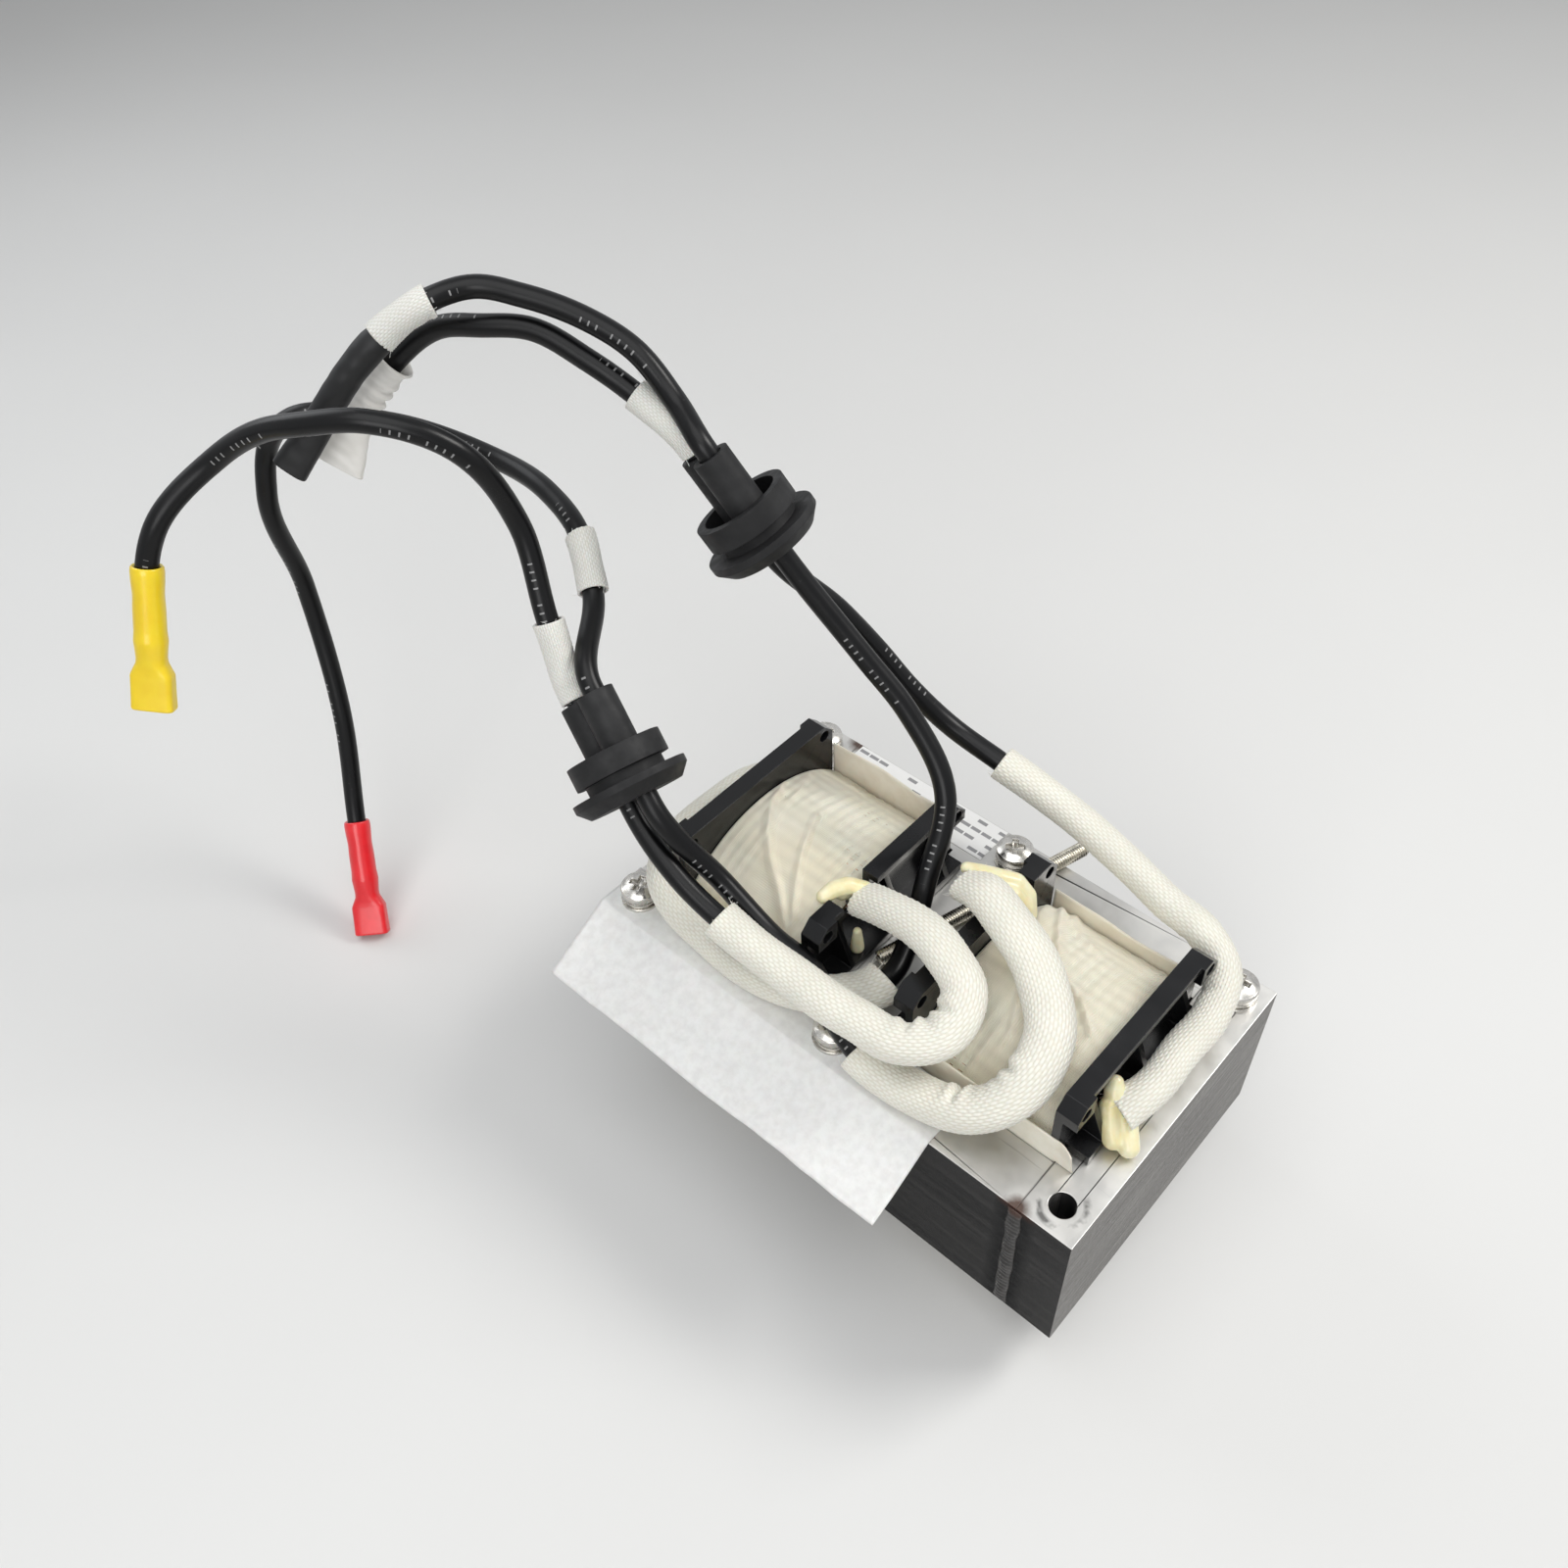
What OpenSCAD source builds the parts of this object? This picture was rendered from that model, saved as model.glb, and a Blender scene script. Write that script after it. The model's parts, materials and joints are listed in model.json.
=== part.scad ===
// Chassis transformer: two coils on moulded bobbins, in the windows of a
// welded double-E laminated core, with four flying leads.
// X runs along the core, Y across it and Z up. The origin is the centre of
// the core's underside. The part rests on the lower edges of its flanges.

/* [Core] */
// Thickness of the stack of laminations
stack_h = 44; // [36:1:52]
// Width of the centre leg that carries both bobbins
centre_leg_w = 28; // [24:1:32]
// Width of the crossbar between the two pairs of windows
crossbar_w = 28; // [26:1:32]
// Width of each outer leg
outer_leg_w = 14; // [13:0.5:18]
// Width of each end yoke
yoke_w = 14; // [13:0.5:18]
// Length of each winding window
window_l = 42; // [38:1:48]
// Gap of each window between the centre leg and an outer leg
window_gap = 14; // [13:0.5:16]
// Diameter of the mounting holes through the stack
hole_d = 6; // [5.4:0.1:7]
// Width of each weld bead
weld_w = 3.6; // [2.4:0.1:5]
// How far each weld bead stands out of the core
weld_rise = 1; // [0.5:0.1:1.6]
// Gap between the ends of a bead and the faces of the stack
weld_end_gap = 1; // [0.5:0.1:3]

/* [Bobbins] */
// Gap between the bobbin tube and the centre leg
tube_fit = 0.3; // [0.2:0.05:0.5]
// Wall of the bobbin tube
tube_wall = 1.5; // [1:0.1:2.2]
// Thickness of the flange plates
flange_t = 2; // [1.4:0.1:2.6]
// Height of the flanges above the core
flange_rise = 21; // [19:0.5:25]
// Reach of the flanges below the core
flange_drop = 16; // [14:0.5:20]
// Gap between the flange edges and the outer legs
flange_side_gap = 0.6; // [0.5:0.05:1]
// Height of the stiffening lip along the top and bottom edges
lip_h = 2; // [1.2:0.1:2.8]
// How far the lip stands out of the flange
lip_out = 2.6; // [1.5:0.1:3]
// Width of the corner ears
ear_w = 6.4; // [5.6:0.1:7]
// Height of the corner ears
ear_h = 6; // [5.4:0.1:6.3]
// How far the ears stand out of the flange
ear_out = 3.5; // [3:0.1:4]
// Diameter of the hole in each ear
ear_hole_d = 3.2; // [2:0.1:3.6]
// Size of the chamfer on the flange corners
corner_cut = 3; // [1:0.1:3.4]
// Width of the foot ledge that rests over the core
foot_w = 48; // [42:1:50]
// Thickness of the foot ledge
foot_t = 2.5; // [1.6:0.1:3]
// How far the foot ledge stands out of the flange
foot_out = 6; // [4:0.1:6.4]
// Gap between the foot ledge and the core
foot_gap = 0.4; // [0.2:0.05:0.6]
// Thickness of the gussets between foot and plate
gusset_t = 1.6; // [1:0.1:2.4]
// Distance between neighbouring gussets
gusset_pitch = 18; // [15:0.5:20]
// Width of the wire notch in the top edge of the inner flange
notch_w = 12; // [10:0.5:13]
// Depth of the wire notch
notch_depth = 9; // [8:0.5:10]
// Distance of the notch centre from the middle of the flange
notch_off = 11.5; // [10.5:0.5:12]
// Width and height of the wire window in the outer flange
exit_window = 6.6; // [6:0.1:7]
// Distance of that window from the middle of the flange
exit_off = 13; // [12.5:0.1:13.2]

/* [Coils] */
// Gap between the side of the coil and the flange edge
coil_inset = 0.3; // [0.2:0.05:0.6]
// Build of the coil above the bobbin tube
coil_build = 13.1; // [11:0.1:13.4]
// Thickness of the cloth tape round the winding
tape_t = 0.45; // [0.3:0.05:0.6]
// Gap between the coil's end faces and the flange plates
coil_end_gap = 0.15; // [0.1:0.05:0.4]
// Thickness of the paper liners and of the insulation sheet
paper_t = 0.3; // [0.2:0.05:0.4]
// Gap between a liner and the outer leg
liner_gap = 0.12; // [0.08:0.02:0.16]
// Reach of the liners below the core
liner_drop = 10; // [6:0.5:12]
// Height of the rear left liner above the core
liner_rise_rear_left = 13.6; // [8:0.2:16]
// Height of the rear right liner above the core
liner_rise_rear_right = 8.6; // [6:0.2:14]
// Height of the two front liners above the core
liner_rise_front = 8; // [5:0.2:8.4]
// How far the front right liner runs past the outer flange
liner_tail = 4.5; // [1:0.1:5]

/* [Sheet and label] */
// Length of the folded insulation sheet along the core
sheet_l = 103; // [90:1:104]
// Depth of the part of the sheet that lies on the core
sheet_top = 13.7; // [12.5:0.1:13.8]
// Length of the flap that hangs over the front edge
flap_l = 22; // [10:0.5:26]
// Angle of the flap below the horizontal
flap_angle = 30; // [15:1:60]
// Length of the label
label_l = 48.4; // [40:0.1:49]
// Width of the label
label_w = 12; // [10:0.1:12.4]
// Thickness of the label
label_t = 0.15; // [0.1:0.01:0.2]

/* [Fasteners] */
// Thread diameter of the screws
screw_d = 5; // [4.6:0.1:5.2]
// Diameter of the plain shank between head and thread
shank_d = 4.4; // [4:0.1:4.5]
// Diameter of the pan heads
head_d = 9.5; // [8.6:0.1:9.8]
// Height of the pan heads
head_h = 3.7; // [3:0.1:3.9]
// Length of the screws under the head
screw_l = 54; // [50:1:58]
// Outer diameter of the spring washers
spring_washer_d = 9; // [8.4:0.1:9.2]
// Thickness of the spring washers
spring_washer_t = 1.3; // [1:0.1:1.6]
// Outer diameter of the flat washers
flat_washer_d = 10; // [9.4:0.1:10.2]
// Thickness of the flat washers
flat_washer_t = 1; // [0.8:0.1:1.2]
// Bore of both kinds of washer
washer_bore_d = 5.3; // [5.3:0.05:5.5]
// Diameter of the loose threaded rod
rod_d = 4; // [3:0.1:4.2]
// Length of the loose threaded rod
rod_l = 63; // [50:1:70]

/* [Leads] */
// Diameter of the insulated leads
lead_d = 5.2; // [4.6:0.1:5.4]
// Outer diameter of the sleeves that lead round the outer flanges
sleeve_slim_d = 7.6; // [7:0.1:7.7]
// Outer diameter of the sleeves that cross the inner flanges
sleeve_wide_d = 8.6; // [7.6:0.1:8.8]
// Wall of the woven sleeves and markers
sleeve_wall = 0.6; // [0.4:0.05:0.7]
// Outer diameter of the marker sleeves
marker_d = 6.9; // [6.7:0.1:7.2]
// Outer diameter of the shrink tubes
shrink_d = 9.2; // [8:0.1:9.6]
// Gap between a lead and what is moulded or shrunk over it
lead_fit = 0.15; // [0.1:0.01:0.2]

/* [Grommets] */
// Diameter of the grommet's flange
grommet_d = 28; // [26:0.5:30]
// Thickness of that flange
grommet_flange_t = 4.5; // [3.5:0.1:5]
// Diameter at the bottom of the panel groove
groove_d = 19; // [18.4:0.1:20.5]
// Width of the panel groove
groove_w = 2.5; // [1.5:0.1:3.5]
// Outer diameter of the collar above the groove
collar_d = 23; // [22.2:0.1:24]
// Height of the collar
collar_h = 5.5; // [4:0.1:6.5]
// Diameter of the recess in the collar
recess_d = 18.4; // [18:0.1:19]
// Depth of that recess
recess_depth = 4; // [2:0.1:5]
// Outer diameter of the two nozzles
nozzle_d = 8.8; // [8.2:0.1:9]
// Distance between the axes of the two nozzles
nozzle_pitch = 8.6; // [8:0.1:9]
// Height of the whole grommet
grommet_h = 25.5; // [23:0.1:27]

/* [Ends] */
// Length of the insulating terminal covers
cover_l = 34; // [31:0.5:36]
// Diameter of the cover's barrel
cover_barrel_d = 7.2; // [7:0.1:7.6]
// Width of the cover's mouth
cover_mouth_w = 9.6; // [9.2:0.1:10]
// Height of the cover's mouth
cover_mouth_h = 4.8; // [4.6:0.1:5.2]
// Length of the cover's round barrel
cover_barrel_l = 16; // [14:0.5:18]
// Width of the receptacle for the tab
tab_w = 6.4; // [6.3:0.05:6.6]
// Thickness of the tab that the receptacle takes
tab_t = 0.8; // [0.7:0.05:0.9]
// Thickness of the receptacle's sheet metal
terminal_t = 0.5; // [0.3:0.05:0.6]

/* [Hidden] */
$fn = 48;
cord_sides = 10;
over = 1;

// Core
stack_half_l = crossbar_w / 2 + window_l;
core_half_l = stack_half_l + yoke_w;
leg_inner = centre_leg_w / 2 + window_gap;
core_half_w = leg_inner + outer_leg_w;
hole_x = stack_half_l + yoke_w / 2;
hole_y = leg_inner + outer_leg_w / 2;
mid_z = stack_h / 2;

// Bobbins, drawn for the right hand side
tube_in = centre_leg_w / 2 + tube_fit;
tube_in_h = mid_z + tube_fit;
tube_out = tube_in + tube_wall;
tube_out_h = tube_in_h + tube_wall;
inner_face = crossbar_w / 2 + tube_fit;
outer_face = stack_half_l - tube_fit;
flange_half_w = leg_inner - flange_side_gap;
flange_top = stack_h + flange_rise;
foot_z = stack_h + foot_gap;
gusset_lip_gap = 1.5;
gusset_h = flange_rise - foot_gap - foot_t - lip_h - gusset_lip_gap;
exit_z = foot_z + foot_t;
notch_floor = [inner_face, notch_off, flange_top - notch_depth];
exit_floor = [outer_face, -exit_off, exit_z];

// Coils
coil_x0 = inner_face + flange_t + coil_end_gap;
coil_x1 = outer_face - flange_t - coil_end_gap;
tape_half_w = flange_half_w - coil_inset;
winding_half_w = tape_half_w - tape_t;
coil_top = tube_out_h + coil_build;
winding_fit = 0.1;
liner_y = leg_inner - liner_gap - paper_t;

// Sheet and label
sheet_z = stack_h + paper_t;
label_edge = 0.3;
label_washer_gap = 1.6;
label_x1 = -flat_washer_d / 2 - label_washer_gap;
fold_y = -core_half_w - paper_t * tan(flap_angle / 2);

// Fasteners: the front right hole is empty
screw_places = [
    [-hole_x, -hole_y, paper_t], [0, -hole_y, paper_t],
    [0, hole_y, 0], [hole_x, hole_y, 0], [-hole_x, hole_y, 0]
];
recess_arm_w = 1.3;
recess_arm_l = 4.6;
head_side = 0.6;
rod_gap = 0.05;
rod_front = [-5.5, -12];
rod_turn = -16;

// Grommet rim, terminals and glue
rim_cut = 2.5;
rim_land = 1.8;
mouth_side = [0.74, 0.67, 0];
cover_wall = 0.9;
mouth_inset = 1;
receptacle_l = 9;
mouth_z = cover_l - receptacle_l - mouth_inset;
slice_t = 1;
terminal_barrel_d = 4;
glue_fit = 0.05;

// Leads: where each one runs, by points along it
lead_r = lead_d / 2;

// Grommets: place of the flange's underside, lean, heading and turn of the pair
upper_at = [-60, 14, 126];
upper_turn = [37, 198, -36];
lower_at = [-57.5, -36, 85.5];
lower_turn = [51, 166, 14];
bore_run = [-2, grommet_h + 1];

white_points = concat(
    [[61, -12.8, 51.2], [63.3, -7, 53], [63.5, 6, 53.5], [63.4, 20, 53.5], [60, 30.5, 56],
     [52.5, 33.5, 60], [41, 36, 60], [26, 39.5, 61.5], [10.5, 40.5, 65], [-9, 38.5, 71],
     [-23.5, 36.5, 76], [-33.5, 33, 85], [-42, 30, 95], [-49, 25, 106]],
    bore_points(upper_at, upper_turn, 1),
    [[-94, 8.5, 154], [-104.5, 5, 160], [-116.5, 0, 165.5], [-126, -6, 165.5],
     [-136, -11, 163.5], [-143.5, -18, 156.5], [-149, -32.5, 139], [-150, -36, 134.5]]);
black_points = concat(
    [[-61.5, 12.8, 51.2], [-63.5, 7, 52.7], [-65, -4, 52.5], [-65, -15, 52.5], [-62.5, -25, 53],
     [-57.5, -31.5, 53.3], [-48, -35, 51], [-37, -35.5, 48.4], [-21, -35.5, 48.4],
     [-8, -31, 49.7], [2, -19, 51.5], [-1, -5.5, 54], [-4, 3, 62], [-10, 17, 76.5],
     [-24, 20, 92], [-36, 18, 104]],
    bore_points(upper_at, upper_turn, -1),
    [[-83.5, 10.5, 155.5], [-94.5, 10, 164], [-106, 6, 169.5], [-117.5, 0, 173],
     [-126.5, -6, 174.5], [-131, -14.5, 173.5], [-137, -25, 167], [-148, -43.5, 144.5],
     [-150, -47.5, 139.5]]);
yellow_points = concat(
    [[-15, -10, 60], [-11.5, -10.5, 62], [4, -12.5, 68.4], [15.5, -15.5, 70.1],
     [24, -20, 68], [26, -29, 64.5], [19, -35.5, 62.2], [8, -37, 61.7], [-12, -37.5, 62],
     [-31, -38.5, 66], [-42, -39, 71]],
    bore_points(lower_at, lower_turn, 1),
    [[-90.5, -28, 114.5], [-100.5, -24, 135], [-107.5, -32, 155.5],
     [-120, -43.5, 162.5], [-131.5, -50.5, 160.5], [-143.5, -55.5, 156], [-154, -62, 148],
     [-159.5, -78, 136], [-160.5, -82.5, 128], [-159, -86, 120]]);
red_points = concat(
    [[6, 5, 67.6], [12.5, 3.5, 70], [21, 0.5, 70], [34, -5, 66], [43, -15, 63.5],
     [44.5, -26, 59], [38, -34, 53], [24.5, -36.5, 49], [9.5, -38, 51.4],
     [-1, -35, 54.8], [-9, -31, 57.1], [-22, -30.5, 59], [-36, -31, 67]],
    bore_points(lower_at, lower_turn, -1),
    [[-92, -13, 113], [-101.5, -7, 121], [-116.5, -2.5, 123.5], [-140, -1.5, 123.5],
     [-162.5, -12.5, 129], [-177.5, -30.5, 133], [-185, -35, 124], [-185, -39, 113],
     [-188, -36, 79], [-176, -43.5, 41], [-167.5, -53.5, 12.9], [-163.5, -57, 5.9]]);

// Ring numbers where sleeves, markers and shrink tubes start and end
white_sleeve = [0, 9];
white_marker = [15, 16];
white_shrink = [21, 23];
black_sleeve = [0, 10];
black_marker = [23, 24];
black_shrink = [24, 26];
yellow_sleeve = [1, 9];
yellow_marker = [12, 13];
red_sleeve = [0, 8];
red_marker = [15, 16];

// Directions worked out from a lean, a heading and a turn, all in degrees
function unit(v) = v / norm(v);
function axis_of(t) = [sin(t[0]) * cos(t[1]), sin(t[0]) * sin(t[1]), cos(t[0])];
function pair_of(t) =
    cos(t[2]) * [cos(t[1]) * cos(t[0]), sin(t[1]) * cos(t[0]), -sin(t[0])]
    + sin(t[2]) * [-sin(t[1]), cos(t[1]), 0];
function bore_points(at, t, side) =
    [for (run = bore_run) at + side * nozzle_pitch / 2 * pair_of(t) + run * axis_of(t)];

// Tangents and turned-along normals of a route, so that nested tubes share rings
function tangent(p, i) = unit(p[min(i + 1, len(p) - 1)] - p[max(i - 1, 0)]);
function off_axis(n, t) = unit(n - (n * t) * t);
function normals(p) =
    [for (i = 0, n = off_axis([0.3, 0.2, 1], tangent(p, 0)); i < len(p);
          i = i + 1, n = off_axis(n, tangent(p, min(i, len(p) - 1)))) n];
function ring(c, t, n, r) =
    [for (s = [0 : cord_sides - 1])
        c + r * (cos(360 * s / cord_sides) * n + sin(360 * s / cord_sides) * cross(t, n))];
function wall_faces(i, s, next) =
    [[(i + 1) * cord_sides + s, (i + 1) * cord_sides + next, i * cord_sides + s],
     [(i + 1) * cord_sides + next, i * cord_sides + next, i * cord_sides + s]];

// Puts what stands along Z at the origin onto a line, with its X side turned to wide
module on_line(start, end, wide) {
    z = unit(end - start);
    x = off_axis(wide, z);
    y = cross(z, x);
    multmatrix([[x[0], y[0], z[0], start[0]], [x[1], y[1], z[1], start[1]],
                [x[2], y[2], z[2], start[2]], [0, 0, 0, 1]]) children();
}

// A round tube along points number from to number to, longer at each end by extra
module sweep(p, from, to, r, extra = [0, 0]) {
    n = normals(p);
    function shift(i) = i == from ? -extra[0] : i == to ? extra[1] : 0;
    rings = [for (i = [from : to])
        ring(p[i] + shift(i) * tangent(p, i), tangent(p, i), n[i], r)];
    polyhedron(
        points = [for (one = rings) each one],
        faces = concat(
            [[for (s = [0 : cord_sides - 1]) s]],
            [for (i = [0 : to - from - 1]) for (s = [0 : cord_sides - 1])
                each wall_faces(i, s, (s + 1) % cord_sides)],
            [[for (s = [cord_sides - 1 : -1 : 0]) (to - from) * cord_sides + s]]));
}

module hollow_sweep(p, span, outer_r, inner_r) {
    difference() {
        sweep(p, span[0], span[1], outer_r);
        sweep(p, span[0], span[1], inner_r, [over, over]);
    }
}

// Core

module stack_hole(x, y) {
    translate([x, y, -over]) cylinder(h = stack_h + 2 * over, d = hole_d);
}

module core_e_stack() {
    color("gainsboro") difference() {
        translate([-stack_half_l, -core_half_w, 0])
            cube([2 * stack_half_l, 2 * core_half_w, stack_h]);
        for (sx = [-1, 1]) for (sy = [-1, 1])
            translate([sx * (crossbar_w / 2 + (window_l + over) / 2),
                       sy * (centre_leg_w / 2 + window_gap / 2), mid_z])
                cube([window_l + over, window_gap, stack_h + 2 * over], center = true);
        for (sy = [-1, 1]) stack_hole(0, sy * hole_y);
    }
}

module core_yoke(side) {
    color("gainsboro") difference() {
        translate([side > 0 ? stack_half_l : -core_half_l, -core_half_w, 0])
            cube([yoke_w, 2 * core_half_w, stack_h]);
        for (sy = [-1, 1]) stack_hole(side * hole_x, sy * hole_y);
    }
}

module core_yoke_left() { core_yoke(-1); }

module core_yoke_right() { core_yoke(1); }

module weld(sx, sy) {
    bead_r = (weld_w * weld_w / 4 + weld_rise * weld_rise) / (2 * weld_rise);
    color("dimgray") translate([sx * stack_half_l, sy * core_half_w, weld_end_gap])
        rotate([0, 0, sy > 0 ? 0 : 180])
            linear_extrude(stack_h - 2 * weld_end_gap) intersection() {
                translate([0, weld_rise - bead_r]) circle(bead_r);
                translate([-weld_w, 0]) square([2 * weld_w, 2 * weld_rise]);
            }
}

module weld_front_left() { weld(-1, -1); }

module weld_front_right() { weld(1, -1); }

module weld_rear_left() { weld(-1, 1); }

module weld_rear_right() { weld(1, 1); }

// Bobbins

// Outline of a flange, with its upper corners chamfered
module flange_outline() {
    polygon([
        [-flange_half_w, -flange_drop], [flange_half_w, -flange_drop],
        [flange_half_w, flange_top - corner_cut], [flange_half_w - corner_cut, flange_top],
        [corner_cut - flange_half_w, flange_top], [-flange_half_w, flange_top - corner_cut]
    ]);
}

// Stands an outline given in Y and Z up, and extrudes it along +X from x
module across(x, depth) {
    translate([x, 0, 0]) rotate([90, 0, 90]) linear_extrude(depth) children();
}

module flange(x, side) {
    face = side > 0 ? x + flange_t : x;
    module outwards(depth) {
        across(side > 0 ? face : face - depth, depth) children();
    }
    across(x, flange_t) flange_outline();
    outwards(lip_out) intersection() {
        flange_outline();
        union() {
            translate([-flange_half_w, flange_top - lip_h]) square([2 * flange_half_w, lip_h]);
            translate([-flange_half_w, -flange_drop]) square([2 * flange_half_w, lip_h]);
        }
    }
    for (sy = [-1, 1])
        outwards(ear_out) intersection() {
            flange_outline();
            translate([sy > 0 ? flange_half_w - ear_w : -flange_half_w, flange_top - ear_h])
                square([ear_w, ear_h]);
        }
    outwards(foot_out) translate([-foot_w / 2, foot_z]) square([foot_w, foot_t]);
    for (sy = [-1, 0, 1])
        translate([face, sy * gusset_pitch + gusset_t / 2, foot_z + foot_t])
            rotate([90, 0, 0]) linear_extrude(gusset_t)
                polygon([[0, 0], [side * foot_out, 0], [0, gusset_h]]);
}

// Holes through both ears of a flange, along X
module ear_holes(x) {
    for (sy = [-1, 1])
        translate([x - ear_out - over, sy * (flange_half_w - ear_w / 2), flange_top - ear_h / 2])
            rotate([0, 90, 0])
                cylinder(h = 2 * ear_out + flange_t + 2 * over, d = ear_hole_d);
}

module bobbin() {
    color("#161616") difference() {
        union() {
            flange(inner_face, -1);
            flange(outer_face - flange_t, 1);
            translate([inner_face, -tube_out, mid_z - tube_out_h])
                cube([outer_face - inner_face, 2 * tube_out, 2 * tube_out_h]);
        }
        translate([inner_face - over, -tube_in, mid_z - tube_in_h])
            cube([outer_face - inner_face + 2 * over, 2 * tube_in, 2 * tube_in_h]);
        ear_holes(inner_face);
        ear_holes(outer_face - flange_t);
        translate([inner_face - foot_out, notch_off - notch_w / 2, flange_top - notch_depth])
            cube([foot_out + flange_t + over, notch_w, notch_depth + over]);
        translate([outer_face - flange_t - over, -exit_off - exit_window / 2, exit_z])
            cube([flange_t + lip_out, exit_window, exit_window]);
    }
}

// The left bobbin is the same moulding, turned end for end
module on_left() { rotate([0, 0, 180]) children(); }

module bobbin_left() { on_left() bobbin(); }

module bobbin_right() { bobbin(); }

// Coils

// Section of a coil: flat sides where the window limits it, crowned top and bottom
module coil_outline(half_w, crown) {
    intersection() {
        translate([0, mid_z]) circle(r = crown, $fn = 96);
        translate([-half_w, mid_z - crown]) square([2 * half_w, 2 * crown]);
    }
}

module winding() {
    color("peru") difference() {
        across(coil_x0, coil_x1 - coil_x0) coil_outline(winding_half_w, coil_top);
        translate([coil_x0 - over, -tube_out - winding_fit, mid_z - tube_out_h - winding_fit])
            cube([coil_x1 - coil_x0 + 2 * over, 2 * (tube_out + winding_fit),
                  2 * (tube_out_h + winding_fit)]);
    }
}

module tape() {
    color("ivory") across(coil_x0, coil_x1 - coil_x0) difference() {
        coil_outline(tape_half_w, coil_top + tape_t);
        coil_outline(winding_half_w, coil_top);
    }
}

module winding_left() { on_left() winding(); }

module winding_right() { winding(); }

module tape_left() { on_left() tape(); }

module tape_right() { tape(); }

// A paper liner in one window; the tail runs on over the core past the flange
module liner(sx, sy, rise, tail) {
    reach = outer_face + tail;
    color("antiquewhite") translate([0, sy > 0 ? liner_y + paper_t : -liner_y, 0])
        rotate([90, 0, 0]) linear_extrude(paper_t) mirror([sx > 0 ? 0 : 1, 0])
            polygon([
                [coil_x0, -liner_drop], [coil_x1, -liner_drop],
                [coil_x1, foot_z], [tail > 0 ? reach : coil_x1, foot_z],
                [tail > 0 ? reach : coil_x1, stack_h + rise], [coil_x0, stack_h + rise]
            ]);
}

module liner_rear_left() { liner(-1, 1, liner_rise_rear_left, 0); }

module liner_rear_right() { liner(1, 1, liner_rise_rear_right, 0); }

module liner_front_left() { liner(-1, -1, liner_rise_front, 0); }

module liner_front_right() { liner(1, -1, liner_rise_front, liner_tail); }

// Sheet and label

module insulation_sheet() {
    dip = [-cos(flap_angle), -sin(flap_angle)];
    skin = [sin(flap_angle), -cos(flap_angle)] * paper_t;
    top_fold = [fold_y, sheet_z];
    flap_end = top_fold + flap_l * dip;
    color("white") difference() {
        across(-core_half_l, sheet_l) polygon([
            [fold_y + sheet_top, stack_h], [fold_y + sheet_top, sheet_z],
            top_fold, flap_end, flap_end + skin, [-core_half_w, stack_h]
        ]);
        for (x = [-hole_x, 0]) stack_hole(x, -hole_y);
    }
}

module rating_label() {
    color("white") translate([label_x1 - label_l, core_half_w - label_edge - label_w, stack_h])
        cube([label_l, label_w, label_t]);
}

// Fasteners

module at_screws() {
    for (place = screw_places)
        translate([place[0], place[1], stack_h + place[2]]) children();
}

module screw() {
    under_head = flat_washer_t + spring_washer_t;
    plain_l = under_head + paper_t + stack_h;
    translate([0, 0, under_head]) difference() {
        union() {
            cylinder(h = head_h * head_side, d = head_d);
            translate([0, 0, head_h * head_side]) intersection() {
                cylinder(h = head_h * (1 - head_side), d = head_d);
                translate([0, 0, head_h * (1 - head_side) - head_d])
                    sphere(r = head_d, $fn = 64);
            }
            translate([0, 0, -plain_l]) cylinder(h = plain_l, d = shank_d);
            translate([0, 0, -screw_l]) cylinder(h = screw_l - plain_l, d = screw_d);
        }
        for (a = [0, 90])
            rotate([0, 0, a]) translate([0, 0, head_h])
                cube([recess_arm_l, recess_arm_w, head_h], center = true);
    }
}

module washer(d, t) {
    difference() {
        cylinder(h = t, d = d);
        translate([0, 0, -over]) cylinder(h = t + 2 * over, d = washer_bore_d);
    }
}

module mounting_screws() { color("silver") at_screws() screw(); }

module flat_washers() { color("silver") at_screws() washer(flat_washer_d, flat_washer_t); }

module spring_washers() {
    color("silver") at_screws() translate([0, 0, flat_washer_t]) difference() {
        washer(spring_washer_d, spring_washer_t);
        translate([0, -recess_arm_w / 2, -over])
            cube([spring_washer_d, recess_arm_w, spring_washer_t + 2 * over]);
    }
}

module threaded_rod() {
    color("silver") translate([rod_front[0], rod_front[1], stack_h + rod_gap + rod_d / 2])
        rotate([-90, 0, rod_turn]) cylinder(h = rod_l, d = rod_d);
}

// Leads

module lead(p, last) { color("#101010") sweep(p, 0, last, lead_r); }

module sleeve(p, span, d) {
    color("ivory") hollow_sweep(p, span, d / 2, d / 2 - sleeve_wall);
}

module lead_white() { lead(white_points, white_shrink[1] - 1); }

module lead_black() { lead(black_points, black_shrink[1] - 1); }

module lead_yellow() { lead(yellow_points, len(yellow_points) - 1); }

module lead_red() { lead(red_points, len(red_points) - 1); }

module sleeve_white() { sleeve(white_points, white_sleeve, sleeve_slim_d); }

module sleeve_black() { sleeve(black_points, black_sleeve, sleeve_slim_d); }

module sleeve_yellow() { sleeve(yellow_points, yellow_sleeve, sleeve_wide_d); }

module sleeve_red() { sleeve(red_points, red_sleeve, sleeve_wide_d); }

module marker_white() { sleeve(white_points, white_marker, marker_d); }

module marker_black() { sleeve(black_points, black_marker, marker_d); }

module marker_yellow() { sleeve(yellow_points, yellow_marker, marker_d); }

module marker_red() { sleeve(red_points, red_marker, marker_d); }

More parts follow.
